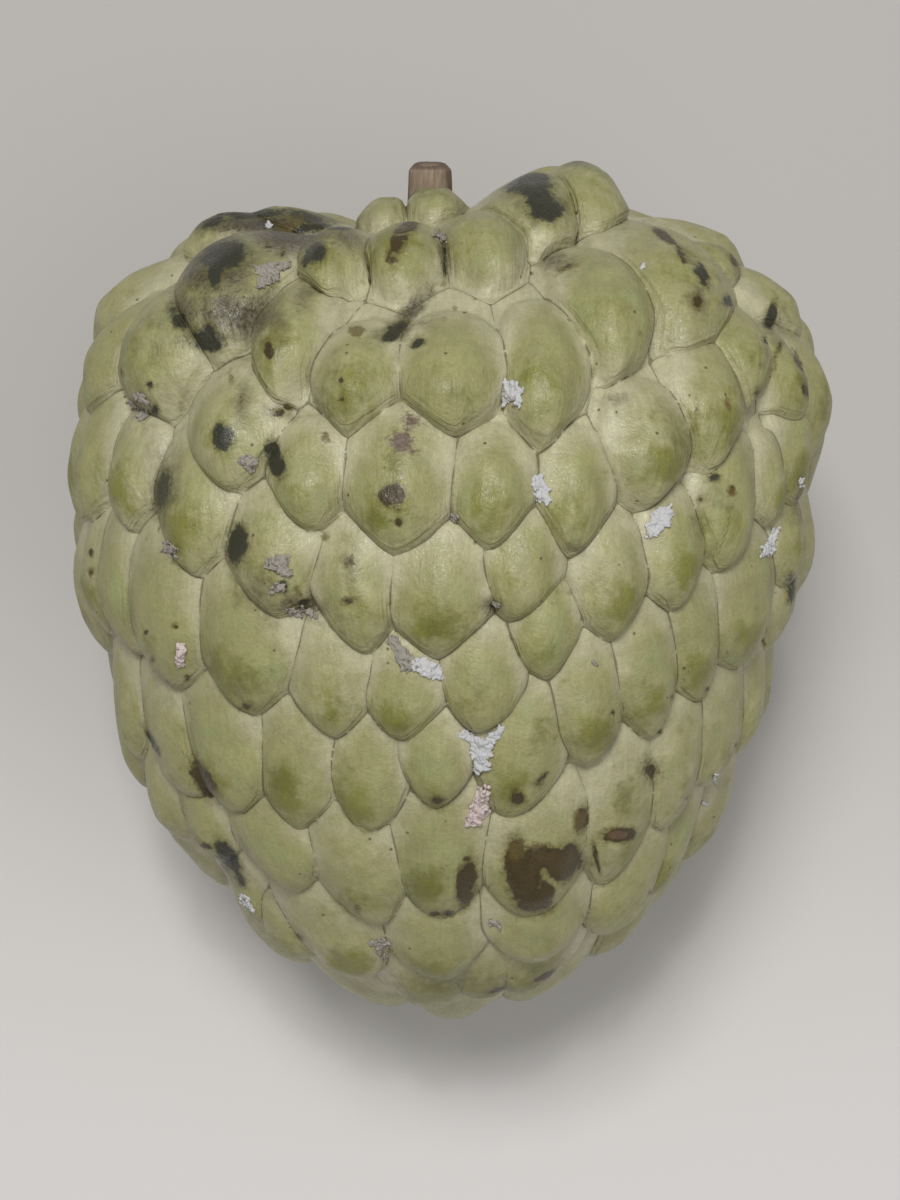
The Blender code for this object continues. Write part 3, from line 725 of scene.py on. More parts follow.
    def to_grooves(
        self, points: np.ndarray, shift: np.ndarray, near: np.ndarray
    ) -> tuple[np.ndarray, np.ndarray, np.ndarray, np.ndarray]:
        """Find the nearest groove of each point, where its scale and the next one are equally high.

        Args:
            points: Points of the smooth body.
            shift: How far each is shifted for reading the heights.
            near: The scales to choose from, one row a point.

        Returns:
            The distance to the groove, the unit way to it, the point's scale and its height.
        """
        first, second, high, low = self.top_two(points + shift, near)
        across, down = self.body.tangents(points)
        nudge = 0.05 * MM
        slopes = []
        for along in (across, down):
            moved = points + shift + along * nudge
            gap = self.height_on(moved, first) - self.height_on(moved, second)
            slopes.append((gap - (high - low)) / nudge)
        steepness = np.hypot(*slopes) + 1e-6
        way = -(across * slopes[0][:, None] + down * slopes[1][:, None]) / steepness[:, None]
        return (high - low) / steepness, way, first, high


def linear(hex_colour: str) -> Colour:
    """Return an sRGB hex colour as linear red, green, blue and full alpha."""
    values = [int(hex_colour[place : place + 2], 16) / 255.0 for place in (0, 2, 4)]
    red, green, blue = (v / 12.92 if v <= 0.04045 else ((v + 0.055) / 1.055) ** 2.4 for v in values)
    return red, green, blue, 1.0


def feed(tree: bpy.types.NodeTree, node: bpy.types.Node, inputs: dict[Any, Any]) -> None:
    """Set a node's sockets.

    Args:
        tree: The material's node tree.
        node: The node.
        inputs: For each socket, by name or number, its value or the socket that feeds it.
    """
    for socket, value in inputs.items():
        if isinstance(value, bpy.types.NodeSocket):
            tree.links.new(value, node.inputs[socket])
        else:
            node.inputs[socket].default_value = value


def add_node(
    tree: bpy.types.NodeTree, kind: str, inputs: dict[Any, Any] | None = None, **settings: Any
) -> bpy.types.Node:
    """Add a node to a tree.

    Args:
        tree: The material's node tree.
        kind: The node's type, after the word ShaderNode.
        inputs: For each socket, its value or the socket that feeds it.
        settings: The node's own properties.

    Returns:
        The new node.
    """
    node = tree.nodes.new("ShaderNode" + kind)
    for name, value in settings.items():
        setattr(node, name, value)
    feed(tree, node, inputs or {})
    return node


def laid_over(
    tree: bpy.types.NodeTree, under: Any, over: str, mask: Any, low: float, high: float,
    share: Any = 1.0, step: str = "LINEAR",
) -> bpy.types.NodeSocket:
    """Lay a colour over another one.

    Args:
        tree: The material's node tree.
        under: The colour beneath, or the socket that gives it.
        over: The colour laid over it, as sRGB hex.
        mask: The socket that says where it lies.
        low: The mask's value where none of it shows.
        high: The mask's value where all of it shows.
        share: How much of it shows there.
        step: How it goes from one to the other.

    Returns:
        The socket that gives the new colour.
    """
    ramp = {"Value": mask, "From Min": low, "From Max": high, "To Max": share}
    amount = add_node(tree, "MapRange", ramp, interpolation_type=step).outputs["Result"]
    inputs = {0: amount, 6: under, 7: linear(over)}
    return add_node(tree, "Mix", inputs, data_type="RGBA").outputs[2]


def new_material(name: str) -> tuple[bpy.types.Material, bpy.types.NodeTree, bpy.types.Node]:
    """Return a new material, its tree and its Principled shader."""
    material = bpy.data.materials.new(name)
    material.use_nodes = True
    return material, material.node_tree, material.node_tree.nodes["Principled BSDF"]


class Lumps(Enum):
    """The noises that make the skin's colours ragged: size in metres, detail and roughness."""

    PATCH = (4.5 * MM, 3.0, 0.60)
    MOTTLE = (2.4 * MM, 4.0, 0.65)
    RAGGED = (1.1 * MM, 4.0, 0.62)
    SMUDGE = (1.3 * MM, 2.0, 0.45)
    SPECKLE = (0.5 * MM, 3.0, 0.70)


@dataclass(frozen=True)
class Overlay:
    """A colour laid over the skin where a field of the mesh, with noise added, passes from low to high."""

    field: str
    noise: Lumps
    weight: float
    low: float
    high: float
    share: float
    colour: str


@dataclass(frozen=True)
class WaxySkin:
    """Waxy green fruit skin, as it grew.

    It is pale at the roots of its scales and olive on their crowns, with fine streaks down each scale, folds
    along its lower edge and a broken, waxy gloss. Low on each crown the olive is partly painted shade, and
    the grooves hold dirt and painted shade. The grain, streaks and folds of real skin are nearer 0.1 mm: they
    are drawn as coarse as they need to be to show.
    """

    name: str = "waxy green fruit skin"
    pale: str = "BDB896"
    speck: str = "433819"
    roughness: float = 0.42
    grain: float = 0.35 * MM
    cloud: float = 3.0 * MM
    fold: float = 0.5 * MM
    streak: float = 0.5 * MM
    streak_stretch: float = 0.16
    speck_spacing: float = 2.1 * MM
    pucker_spacing: float = 2.3 * MM
    overlays: tuple[Overlay, ...] = (
        Overlay("crown", Lumps.MOTTLE, 0.9, 0.08, 0.92, 1.0, "A09C6B"),
        Overlay("crown", Lumps.PATCH, 2.4, 0.70, 1.55, 0.60, "96A06B"),
        # Olive low on each crown: partly the skin's own colour, partly painted shade on the lower half of
        # each scale, which turns down away from the light.
        Overlay("ripe", Lumps.MOTTLE, 1.5, 0.18, 0.82, 0.85, "7E7D38"),
        # Olive patches of the skin, and painted shade over the fruit's tip.
        Overlay(Stain.OLIVE_AND_SHADE.value, Lumps.RAGGED, 1.3, 0.28, 0.90, 0.62, "6D6C2B"),
        Overlay(Stain.SOOT.value, Lumps.MOTTLE, 1.0, 0.08, 0.72, 0.74, "665E4A"),
        Overlay(Stain.SOOT.value, Lumps.SPECKLE, 1.5, 0.42, 0.96, 0.85, "3D362B"),
        Overlay(Stain.PURPLE.value, Lumps.SPECKLE, 1.5, 0.20, 0.75, 0.85, "604A46"),
        Overlay(Stain.BROWN.value, Lumps.RAGGED, 0.9, 0.10, 0.52, 0.65, "726A38"),
        Overlay(Stain.BLACK.value, Lumps.RAGGED, 0.9, 0.08, 0.46, 0.60, "6C6A3C"),
        Overlay(Stain.BROWN.value, Lumps.SPECKLE, 1.4, 0.34, 0.66, 0.60, "524524"),
        Overlay(Stain.BLACK.value, Lumps.SPECKLE, 1.5, 0.32, 0.62, 0.65, "403D2C"),
        Overlay(Stain.BROWN.value, Lumps.SMUDGE, 0.9, 0.40, 0.58, 0.88, "40331A"),
        Overlay(Stain.BROWN.value, Lumps.MOTTLE, 1.4, 0.62, 1.10, 0.30, "5E4C28"),
        Overlay(Stain.BLACK.value, Lumps.SMUDGE, 0.9, 0.40, 0.60, 0.90, "34352A"),
        Overlay(Stain.RUST.value, Lumps.RAGGED, 1.2, 0.28, 0.60, 0.80, "67582F"),
        Overlay(Stain.SCAR.value, Lumps.RAGGED, 0.9, 0.40, 0.62, 0.80, "6C5540"),
        # A thin dark line in each groove and a soft darkening beside it: partly dirt and the seams' own
        # brown, partly painted shade in the creases.
        Overlay("groove_mm", Lumps.RAGGED, 0.6, 0.50, 0.05, 0.10, "564A2E"),
        Overlay("groove_mm", Lumps.PATCH, 0.5, 0.11, 0.01, 0.60, "4E4128"),
    )

    def material(self) -> bpy.types.Material:
        """Return the material."""
        made, tree, shader = new_material(self.name)
        place = add_node(tree, "TexCoord").outputs["Object"]
        on_scale = add_node(tree, "Attribute", attribute_name="on_scale").outputs["Vector"]
        fields = {
            name: add_node(tree, "Attribute", attribute_name=name).outputs["Fac"]
            for name in sorted({overlay.field for overlay in self.overlays} | {"down_share"})
        }

        # Streaks run down a scale, and folds along its lower edge.
        stretch = {"Vector": on_scale, "Scale": (1.0, self.streak_stretch, 1.0)}
        along = add_node(tree, "Mapping", stretch).outputs[0]
        inputs = {0: fields["groove_mm"], 1: MM}
        inward = add_node(tree, "Math", inputs, operation="MULTIPLY").outputs[0]
        flat = add_node(tree, "SeparateXYZ", {"Vector": on_scale}).outputs
        inputs = {0: flat["X"], 1: self.streak_stretch}
        sideways = add_node(tree, "Math", inputs, operation="MULTIPLY").outputs[0]
        inputs = {"X": sideways, "Y": inward, "Z": flat["Z"]}
        edgewise = add_node(tree, "CombineXYZ", inputs).outputs[0]
        textures = {}
        for key, vector, (size, detail, rough) in (
            *((lump, place, lump.value) for lump in Lumps),
            ("streaks", along, (self.streak, 3.0, 0.65)), ("grain", place, (self.grain, 2.0, 0.6)),
            ("cloud", place, (self.cloud, 4.0, 0.7)), ("folds", edgewise, (self.fold, 2.0, 0.5)),
        ):
            inputs = {"Vector": vector, "Scale": 1.0 / size, "Detail": detail, "Roughness": rough}
            textures[key] = add_node(tree, "TexNoise", inputs).outputs["Fac"]
        for lump in Lumps:
            inputs = {0: textures[lump], 1: 0.5}
            textures[lump] = add_node(tree, "Math", inputs, operation="SUBTRACT").outputs[0]

        # The colours from the pale roots up to the marks, and the dirt and painted shade in the grooves.
        colour = linear(self.pale)
        for lay in self.overlays:
            inputs = {0: textures[lay.noise], 1: lay.weight, 2: fields[lay.field]}
            mask = add_node(tree, "Math", inputs, operation="MULTIPLY_ADD").outputs[0]
            colour = laid_over(tree, colour, lay.colour, mask, lay.low, lay.high, lay.share, "SMOOTHSTEP")

        # Specks 0.4 mm across, on one cell in five.
        cells = add_node(tree, "TexVoronoi", {"Vector": place, "Scale": 1.0 / self.speck_spacing})
        chance = add_node(tree, "SeparateColor", {"Color": cells.outputs["Color"]}).outputs["Red"]
        chosen = add_node(tree, "Math", {0: chance, 1: 0.8}, operation="GREATER_THAN").outputs[0]
        share = add_node(tree, "Math", {0: chosen, 1: 0.75}, operation="MULTIPLY").outputs[0]
        colour = laid_over(tree, colour, self.speck, cells.outputs["Distance"], 0.12, 0.06, share)

        # The folds keep to the lower edge. With the other textures they make the colour lighter and darker.
        folded = 1.0
        for field, low, high in (("groove_mm", 2.0, 0.9), ("down_share", 0.05, 0.45)):
            ramp = {"Value": fields[field], "From Min": low, "From Max": high, "To Max": folded}
            folded = add_node(tree, "MapRange", ramp).outputs[0]
        inputs = {0: folded, 2: 0.5, 3: textures["folds"]}
        textures["folds"] = add_node(tree, "Mix", inputs).outputs[0]
        for key, dark, light in (
            ("streaks", 0.93, 1.05), ("cloud", 0.91, 1.08), ("grain", 0.94, 1.05), ("folds", 0.93, 1.04),
        ):
            ramp = {"Value": textures[key], "From Min": 0.25, "From Max": 0.75}
            ramp |= {"To Min": dark, "To Max": light}
            shade = add_node(tree, "MapRange", ramp, interpolation_type="SMOOTHSTEP").outputs[0]
            inputs = {0: colour, "Scale": shade}
            colour = add_node(tree, "VectorMath", inputs, operation="SCALE").outputs[0]

        # Relief: streaks, grain, a thin skirt round the lower edge of each scale and puckers at its tip.
        stretch = {"Vector": on_scale, "Scale": (1.0, 0.22, 1.0)}
        wide = add_node(tree, "Mapping", stretch).outputs[0]
        inputs = {"Vector": wide, "Scale": 1.0 / self.pucker_spacing}
        puckers = add_node(tree, "TexVoronoi", inputs, feature="DISTANCE_TO_EDGE").outputs["Distance"]
        inputs = {0: textures[Lumps.PATCH], 1: 1.8, 2: fields["groove_mm"]}
        skirt_edge = add_node(tree, "Math", inputs, operation="MULTIPLY_ADD").outputs[0]
        all_over = (-2.0, -1.0)
        relief = 0.0
        for source, low, high, (from_down, to_down), weight in (
            (textures["streaks"], 0.2, 0.8, (-0.3, 0.5), 0.5), (textures["grain"], 0.2, 0.8, all_over, 0.3),
            (textures[Lumps.RAGGED], -0.3, 0.3, all_over, 0.6), (puckers, 0.0, 0.14, (0.35, 0.75), 0.35),
            (textures["folds"], 0.3, 0.7, all_over, 1.3), (skirt_edge, 0.55, 1.05, (0.0, 0.35), 0.6),
        ):
            ramp = {"Value": source, "From Min": low, "From Max": high, "To Max": weight}
            height = add_node(tree, "MapRange", ramp, interpolation_type="SMOOTHSTEP").outputs[0]
            ramp = {"Value": fields["down_share"], "From Min": from_down, "From Max": to_down}
            share = add_node(tree, "MapRange", ramp).outputs[0]
            inputs = {0: height, 1: share, 2: relief}
            relief = add_node(tree, "Math", inputs, operation="MULTIPLY_ADD").outputs[0]
        bump = add_node(tree, "Bump", {"Height": relief, "Distance": 0.10 * MM, "Strength": 0.9})

        # Waxy gloss, broken by the grain.
        grain = textures["grain"]
        ramp = {"Value": grain, "From Min": 0.3, "From Max": 0.7}
        ramp |= {"To Min": self.roughness - 0.20, "To Max": self.roughness + 0.14}
        rough = add_node(tree, "MapRange", ramp).outputs[0]
        inputs = {"Height": grain, "Distance": 0.16 * MM, "Normal": bump.outputs[0]}
        sparkle = add_node(tree, "Bump", inputs)
        feed(tree, shader, {
            "Base Color": colour, "Roughness": rough, "IOR": 1.42, "Specular IOR Level": 0.45,
            "Coat Weight": 0.14, "Coat Roughness": 0.17,
            "Normal": bump.outputs[0], "Coat Normal": sparkle.outputs[0],
        })
        return made


@dataclass(frozen=True)
class DryBark:
    """Dry grey-brown bark of a cut stalk: fibres along it, redder patches, a darker rim, and painted shade on
    its sides and down in the fruit.
    """

    name: str = "dry stalk bark"
    bark: str = "A3937C"
    dark: str = "7A6A57"
    red: str = "977C69"
    rim: str = "584A3F"
    fibre: float = 0.35 * MM
    patch: float = 2.2 * MM

    def material(self) -> bpy.types.Material:
        """Return the material."""
        made, tree, shader = new_material(self.name)
        place = add_node(tree, "TexCoord").outputs["Object"]
        along = add_node(tree, "Mapping", {"Vector": place, "Scale": (1.0, 0.14, 0.35)}).outputs[0]
        inputs = {"Vector": along, "Scale": 1.0 / self.fibre, "Detail": 4.0}
        fibre = add_node(tree, "TexNoise", inputs).outputs["Fac"]
        inputs = {"Vector": place, "Scale": 1.0 / self.patch, "Detail": 3.0}
        patch = add_node(tree, "TexNoise", inputs).outputs["Fac"]
        rim = add_node(tree, "Attribute", attribute_name="rim").outputs["Fac"]
        colour = laid_over(tree, linear(self.dark), self.bark, fibre, 0.28, 0.75)
        colour = laid_over(tree, colour, self.red, patch, 0.45, 0.65, 0.5)
        # The rim colour also lays painted shade on the stalk's sides and down in the fruit.
        colour = laid_over(tree, colour, self.rim, rim, 0.0, 1.0)
        bump = add_node(tree, "Bump", {"Height": fibre, "Distance": 0.2 * MM, "Strength": 0.6})
        feed(tree, shader, {"Base Color": colour, "Roughness": 0.85, "Normal": bump.outputs[0]})
        return made


@dataclass(frozen=True)
class MealyWax:
    """Dull white mealy wax in crumbly tufts, some dusty and some pink."""

    name: str = "mealy wax"
    clean: str = "CECDCD"
    dusty: str = "A29C90"
    pink: str = "DAC8C3"
    dirt: str = "4A4136"
    crumb: float = 0.5 * MM

    def material(self) -> bpy.types.Material:
        """Return the material."""
        made, tree, shader = new_material(self.name)
        place = add_node(tree, "TexCoord").outputs["Object"]
        tint = add_node(tree, "Attribute", attribute_name="tint").outputs["Fac"]
        inputs = {"Vector": place, "Scale": 1.0 / self.crumb, "Detail": 5.0, "Roughness": 0.65}
        crumbs = add_node(tree, "TexNoise", inputs).outputs["Fac"]
        colour = laid_over(tree, linear(self.clean), self.dusty, tint, Wax.CLEAN.value, Wax.DUSTY.value)
        colour = laid_over(tree, colour, self.pink, tint, Wax.DUSTY.value, Wax.PINK.value)

        # Dirt between the crumbs of the dusty tufts and the pink ones.
        dirty = add_node(tree, "Math", {0: tint, 1: 0.25}, operation="GREATER_THAN").outputs[0]
        share = add_node(tree, "Math", {0: dirty, 1: 0.75}, operation="MULTIPLY").outputs[0]
        colour = laid_over(tree, colour, self.dirt, crumbs, 0.46, 0.36, share)
        bump = add_node(tree, "Bump", {"Height": crumbs, "Distance": 0.3 * MM, "Strength": 0.9})
        feed(tree, shader, {"Base Color": colour, "Roughness": 0.9, "Normal": bump.outputs[0]})
        return made


@dataclass(frozen=True)
class PaleFloor:
    """A plain matt pale floor, a little darker behind the fruit: painted light, lighter towards the viewer
    and over the fruit's shadow there.
    """

    name: str = "matt pale floor"
    near: str = "E0DDDA"
    far: str = "C2BFBA"

    def material(self) -> bpy.types.Material:
        """Return the material."""
        made, tree, shader = new_material(self.name)
        place = add_node(tree, "TexCoord").outputs["Object"]
        along = add_node(tree, "SeparateXYZ", {"Vector": place}).outputs["Y"]
        near = linear(self.near)
        # Painted light: the colour brightens towards the viewer, which also lifts the fruit's cast shadow in
        # front.
        colour = laid_over(tree, near, self.far, along, -85.0 * MM, 35.0 * MM, step="SMOOTHSTEP")
        feed(tree, shader, {"Base Color": colour, "Roughness": 0.9})
        return made


def deselect() -> None:
    """Leave nothing selected."""
    bpy.ops.object.select_all(action="DESELECT")


def read(items: Any, name: str, width: int = 1, kind: type = float) -> np.ndarray:
    """Read a property of a mesh's vertices, edges, corners or faces.

    Args:
        items: Those vertices, edges, corners or faces.
        name: The property's name.
        width: How many values it has.
        kind: What they are.

    Returns:
        One row an item, or one value an item where the width is 1.
    """
    values = np.empty(len(items) * width, dtype=kind)
    items.foreach_get(name, values)
    return values if width == 1 else values.reshape(-1, width)


def set_field(mesh: bpy.types.Mesh, name: str, values: np.ndarray, domain: str = "POINT") -> None:
    """Store a field that a finish reads.

    Args:
        mesh: The mesh.
        name: The field's name.
        values: A value or a vector a point, or a face corner.
        domain: Which of the two.
    """
    kind, key = ("FLOAT_VECTOR", "vector") if values.ndim == 2 else ("FLOAT", "value")
    attribute = mesh.attributes.new(name, kind, domain)
    attribute.data.foreach_set(key, values.astype(np.float32).ravel())


@dataclass
class Fruit:
    """The fruit: its skin with every scale, laid on its flank."""

    body: Body
    eye: Eye
    scales: Scales
    raised: float = math.radians(18.0)
    rest_wear: float = 1.1 * MM
    subdivisions: int = 8
    triangles: int = 188000
    mean_radius: float = 47.0 * MM
    groove_reach: float = 0.45
    in_groove: float = 0.03 * MM
    crown_sunk: float = 0.85
    uneven: tuple[tuple[float, int, float], ...] = ((3.4 * MM, 7, 0.13 * MM), (1.5 * MM, 9, 0.0455 * MM))
    furrow: float = 0.07 * MM
    furrow_shape: tuple[float, float] = (1.3, 7.0)
    pinch: float = 0.28 * MM
    pinch_width: float = 0.45 * MM
    pinch_aside: float = 1.2 * MM
    overhang_ends: Ends = (0.55 * MM, 0.12 * MM)
    crown_fades: tuple[float, float] = (1.25, 0.35)
    ripe_and_shade_down: float = 0.45
    ripe_and_shade_size: tuple[float, float] = (0.42, 0.36)
    ripe_and_shade_aside: float = 0.4
    mark_reach: float = 1.9
    mark_margin: float = 2.0 * MM
    mark_hit: float = 6.0

    def shaped(self, directions: np.ndarray, edge: float) -> tuple[np.ndarray, np.ndarray, np.ndarray]:
        """Return the skin in these directions.

        Args:
            directions: Unit vectors from the middle of the fruit.
            edge: The length of a mesh edge, which tells how near a groove a point is drawn into it.

        Returns:
            The points of the smooth body under the skin, those of the skin, and their distance from the
            nearest groove.
        """
        scales = self.scales
        points = self.body.on(directions)
        shift = scales.wander(points)
        near = scales.near(points)
        for _ in range(2):
            distance, way, _, _ = scales.to_grooves(points, shift, near)
            close = distance < self.groove_reach * edge
            points = self.body.on(points + way * np.where(close, distance, 0.0)[:, None])
        distance, way, first, high = scales.to_grooves(points, shift, near)
        distance = np.where(distance < self.in_groove, 0.0, distance)
        across, down, _ = scales.shares(points, first)
        sideways = across * scales.half_width[first]
        lengthwise = down * scales.tip_length[first]
        tone = scales.tone[first]
        height = np.maximum(high, scales.groove_floor)
        inside = smooth(distance, 0.0, 1.0 * MM)
        for size, seed, depth in self.uneven:
            height += lumps(points, size, seed) * depth * inside

        # Furrows down each scale, 1.3 mm wide and 7 mm long, read from a slice of the noise that is its own.
        wide, long = self.furrow_shape
        furrows = np.stack((sideways / wide, lengthwise / long, tone * 90.0 * MM), axis=1)
        height += lumps(furrows, 1.0 * MM, 8) * self.furrow * inside * smooth(down, -0.6, 0.3)

        # A pinch at the tip of the more pointed ones.
        bend = (tone - 0.5) * self.pinch_aside
        pinch = np.exp(-(((sideways - bend) / self.pinch_width) ** 2)) * smooth(down, 0.45, 0.8)
        height -= self.pinch * pinch * smooth(distance, 0.1 * MM, 0.6 * MM) * smooth(tone, 0.25, 0.6)

        # The tops of the scales stand at the smooth body, and their lower edges hang over the next ones.
        sunk = scales.stem_to_tip(points, scales.rise_ends)
        sunk += scales.stem_to_tip(points, scales.crown_ends) * self.crown_sunk
        overhang = scales.stem_to_tip(points, self.overhang_ends)
        overhang *= smooth(distance, 0.0, 1.1 * MM) * smooth(distance, 3.6 * MM, 1.3 * MM)
        overhang *= smooth(down, 0.0, 0.35)
        skin = points + unit(points) * (height - sunk)[:, None] + way * overhang[:, None]
        return points, skin, distance

    def make(self) -> bpy.types.Object:
        """Make the fruit."""
        bpy.ops.mesh.primitive_ico_sphere_add(subdivisions=self.subdivisions, radius=1.0)
        fruit = bpy.context.active_object
        fruit.name = "fruit_skin"
        mesh = fruit.data
        face_area = 4.0 * math.pi * self.mean_radius**2 / len(mesh.polygons)
        edge = math.sqrt(face_area * 4.0 / math.sqrt(3.0))
        _, skin, distance = self.shaped(read(mesh.vertices, "co", 3), edge)
        mesh.vertices.foreach_set("co", skin.ravel())
        mesh.update()
        self.thin_out(fruit, skin, distance)

        mesh = fruit.data
        under, skin, distance = self.shaped(unit(read(mesh.vertices, "co", 3)), edge)
        self.store_scales(mesh, under, distance)
        self.store_marks(mesh, under, skin)
        place = Matrix.Rotation(self.raised, 4, "X")
        turned = skin @ np.array(place.to_3x3()).T
        low, high = turned.min(axis=0), turned.max(axis=0)
        shift = (-(low[0] + high[0]) / 2.0, -(low[1] + high[1]) / 2.0, -low[2] - self.rest_wear)
        turned = turned + np.array(shift)
        turned[:, 2] = np.maximum(turned[:, 2], 0.0)
        mesh.vertices.foreach_set("co", turned.ravel())
        mesh.update()
        self.matrix = Matrix.Translation(shift) @ place
        mesh.materials.append(WaxySkin().material())
        LOG.info("fruit_skin: %d triangles, shift %s", len(mesh.polygons), [round(s, 5) for s in shift])
        return fruit

    def thin_out(self, fruit: bpy.types.Object, skin: np.ndarray, distance: np.ndarray) -> None:
        """Take faces away where the skin is smooth and out of view.

        Args:
            fruit: The fruit.
            skin: Its points.
            distance: Their distance from the nearest groove.
        """
        seen = smooth(unit(skin) @ self.eye.to_eye, -0.25, 0.15)
        spare = np.clip(1.0 - seen + 0.25 * smooth(distance, 1.0 * MM, 2.5 * MM), 0.0, 1.0)
        group = fruit.vertex_groups.new(name="spare")
        for level in range(1, 11):
            members = np.flatnonzero(np.rint(spare * 10.0) == level)
            group.add(members.tolist(), level / 10.0, "REPLACE")
        thin = fruit.modifiers.new("fewer faces", "DECIMATE")
        thin.ratio = self.triangles / len(fruit.data.polygons)
        thin.vertex_group = "spare"
        thin.vertex_group_factor = 1.0
        bpy.ops.object.modifier_apply(modifier="fewer faces")
        fruit.vertex_groups.clear()

    def store_scales(self, mesh: bpy.types.Mesh, under: np.ndarray, distance: np.ndarray) -> None:
        """Store on the mesh the place on each scale, its colours and the grooves.

        Args:
            mesh: The fruit's mesh.
            under: The points of the smooth body under it.
            distance: Their distance from the nearest groove.
        """
        scales = self.scales
        corners = read(mesh.loops, "vertex_index", kind=np.int64)
        middles = under[corners.reshape(-1, 3)].mean(axis=1)
        owner = scales.top_two(middles + scales.wander(middles), scales.near(middles))[0]
        owner = np.repeat(owner, 3)
        points = under[corners]
        across, down, _ = scales.shares(points, owner)
        offset = points - scales.middle[owner]
        tone = scales.tone[owner]
        flat = np.stack((
            (offset * scales.across[owner]).sum(axis=1), (offset * scales.down[owner]).sum(axis=1),
            tone * 100.0 * MM,
        ), axis=1)
        other_tone = (tone * 7.13) % 1.0
        aside = (other_tone - 0.35) * self.ripe_and_shade_aside
        outer, inner = self.crown_fades
        off_crown = scales.off_crown(across - 0.2 * aside, down)
        crown = smooth(off_crown, outer, inner + 0.35 * smooth(down, -0.2, 0.4))
        # A darker patch low on each crown: partly its olive colour, partly painted shade where the scale
        # turns down away from the light.
        wide, long = self.ripe_and_shade_size
        ripe = np.exp(-(((across - aside) / wide) ** 2) - ((down - self.ripe_and_shade_down) / long) ** 2)
        set_field(mesh, "on_scale", flat, "CORNER")
        set_field(mesh, "down_share", down, "CORNER")
        set_field(mesh, "crown", crown * (0.70 + 0.30 * other_tone), "CORNER")
        set_field(mesh, "ripe", ripe * (0.35 + 0.65 * tone), "CORNER")
        set_field(mesh, "groove_mm", np.minimum(distance / MM, 3.0))

        # An edge is sharp where it lies in a groove, between two scales.
        ends = read(mesh.edges, "vertices", 2, np.int64)
        edge_of = read(mesh.loops, "edge_index", kind=np.int64)
        lowest = np.full(len(ends), len(scales.tone))
        highest = np.full(len(ends), -1)
        np.minimum.at(lowest, edge_of, owner)
        np.maximum.at(highest, edge_of, owner)
        sharp = (lowest != highest) & (distance[ends].max(axis=1) < self.in_groove)
        mesh.shade_smooth()
        mesh.attributes.new("sharp_edge", "BOOLEAN", "EDGE").data.foreach_set("value", sharp)

    def store_marks(self, mesh: bpy.types.Mesh, under: np.ndarray, skin: np.ndarray) -> None:
        """Store on the mesh how strong each kind of mark is.

        Args:
            mesh: The fruit's mesh.
            under: The points of the smooth body under it.
            skin: Its own points.
        """
        pixels = self.eye.pixels_of(skin)
        facing = smooth((unit(under) * unit(self.eye.place - skin)).sum(axis=1), -0.10, 0.04)
        depth = np.linalg.norm(self.eye.place - skin, axis=1)
        for kind, strengths in STAINS.items():
            value = np.zeros(len(skin))
            for strength, marks in strengths.items():
                for mark in marks:
                    value = np.maximum(value, strength * self.marked(mark, pixels, skin, depth))
            set_field(mesh, kind.value, value * facing)

    def marked(
        self, mark: tuple[int, ...], pixels: np.ndarray, skin: np.ndarray, depth: np.ndarray
    ) -> np.ndarray:
        """Return how much of a mark each point has.

        Args:
            mark: The mark, a row of STAINS.
            pixels: The points' pixels.
            skin: The points.
            depth: How far they are from the eye.

        Returns:
            1 in the mark's middle, falling off from there, and 0 on the skin that lies behind it.
        """
        x, y, half_length, half_width, *turned = mark
        turn = math.radians(sum(turned))
        offset = pixels - np.array((x, y))
        lengthwise = (offset[:, 0] * math.cos(turn) - offset[:, 1] * math.sin(turn)) / half_length
        sideways = (offset[:, 0] * math.sin(turn) + offset[:, 1] * math.cos(turn)) / half_width
        missed = np.abs(offset).max(axis=1) > self.mark_hit
        in_front = np.argmin(depth + 10.0 * missed)
        beyond = np.linalg.norm(skin - skin[in_front], axis=1)
        reach = self.mark_reach * max(half_length, half_width) * self.eye.pixel + self.mark_margin
        return np.exp2(-(lengthwise**2 + sideways**2)) * smooth(beyond, 1.4 * reach, reach)


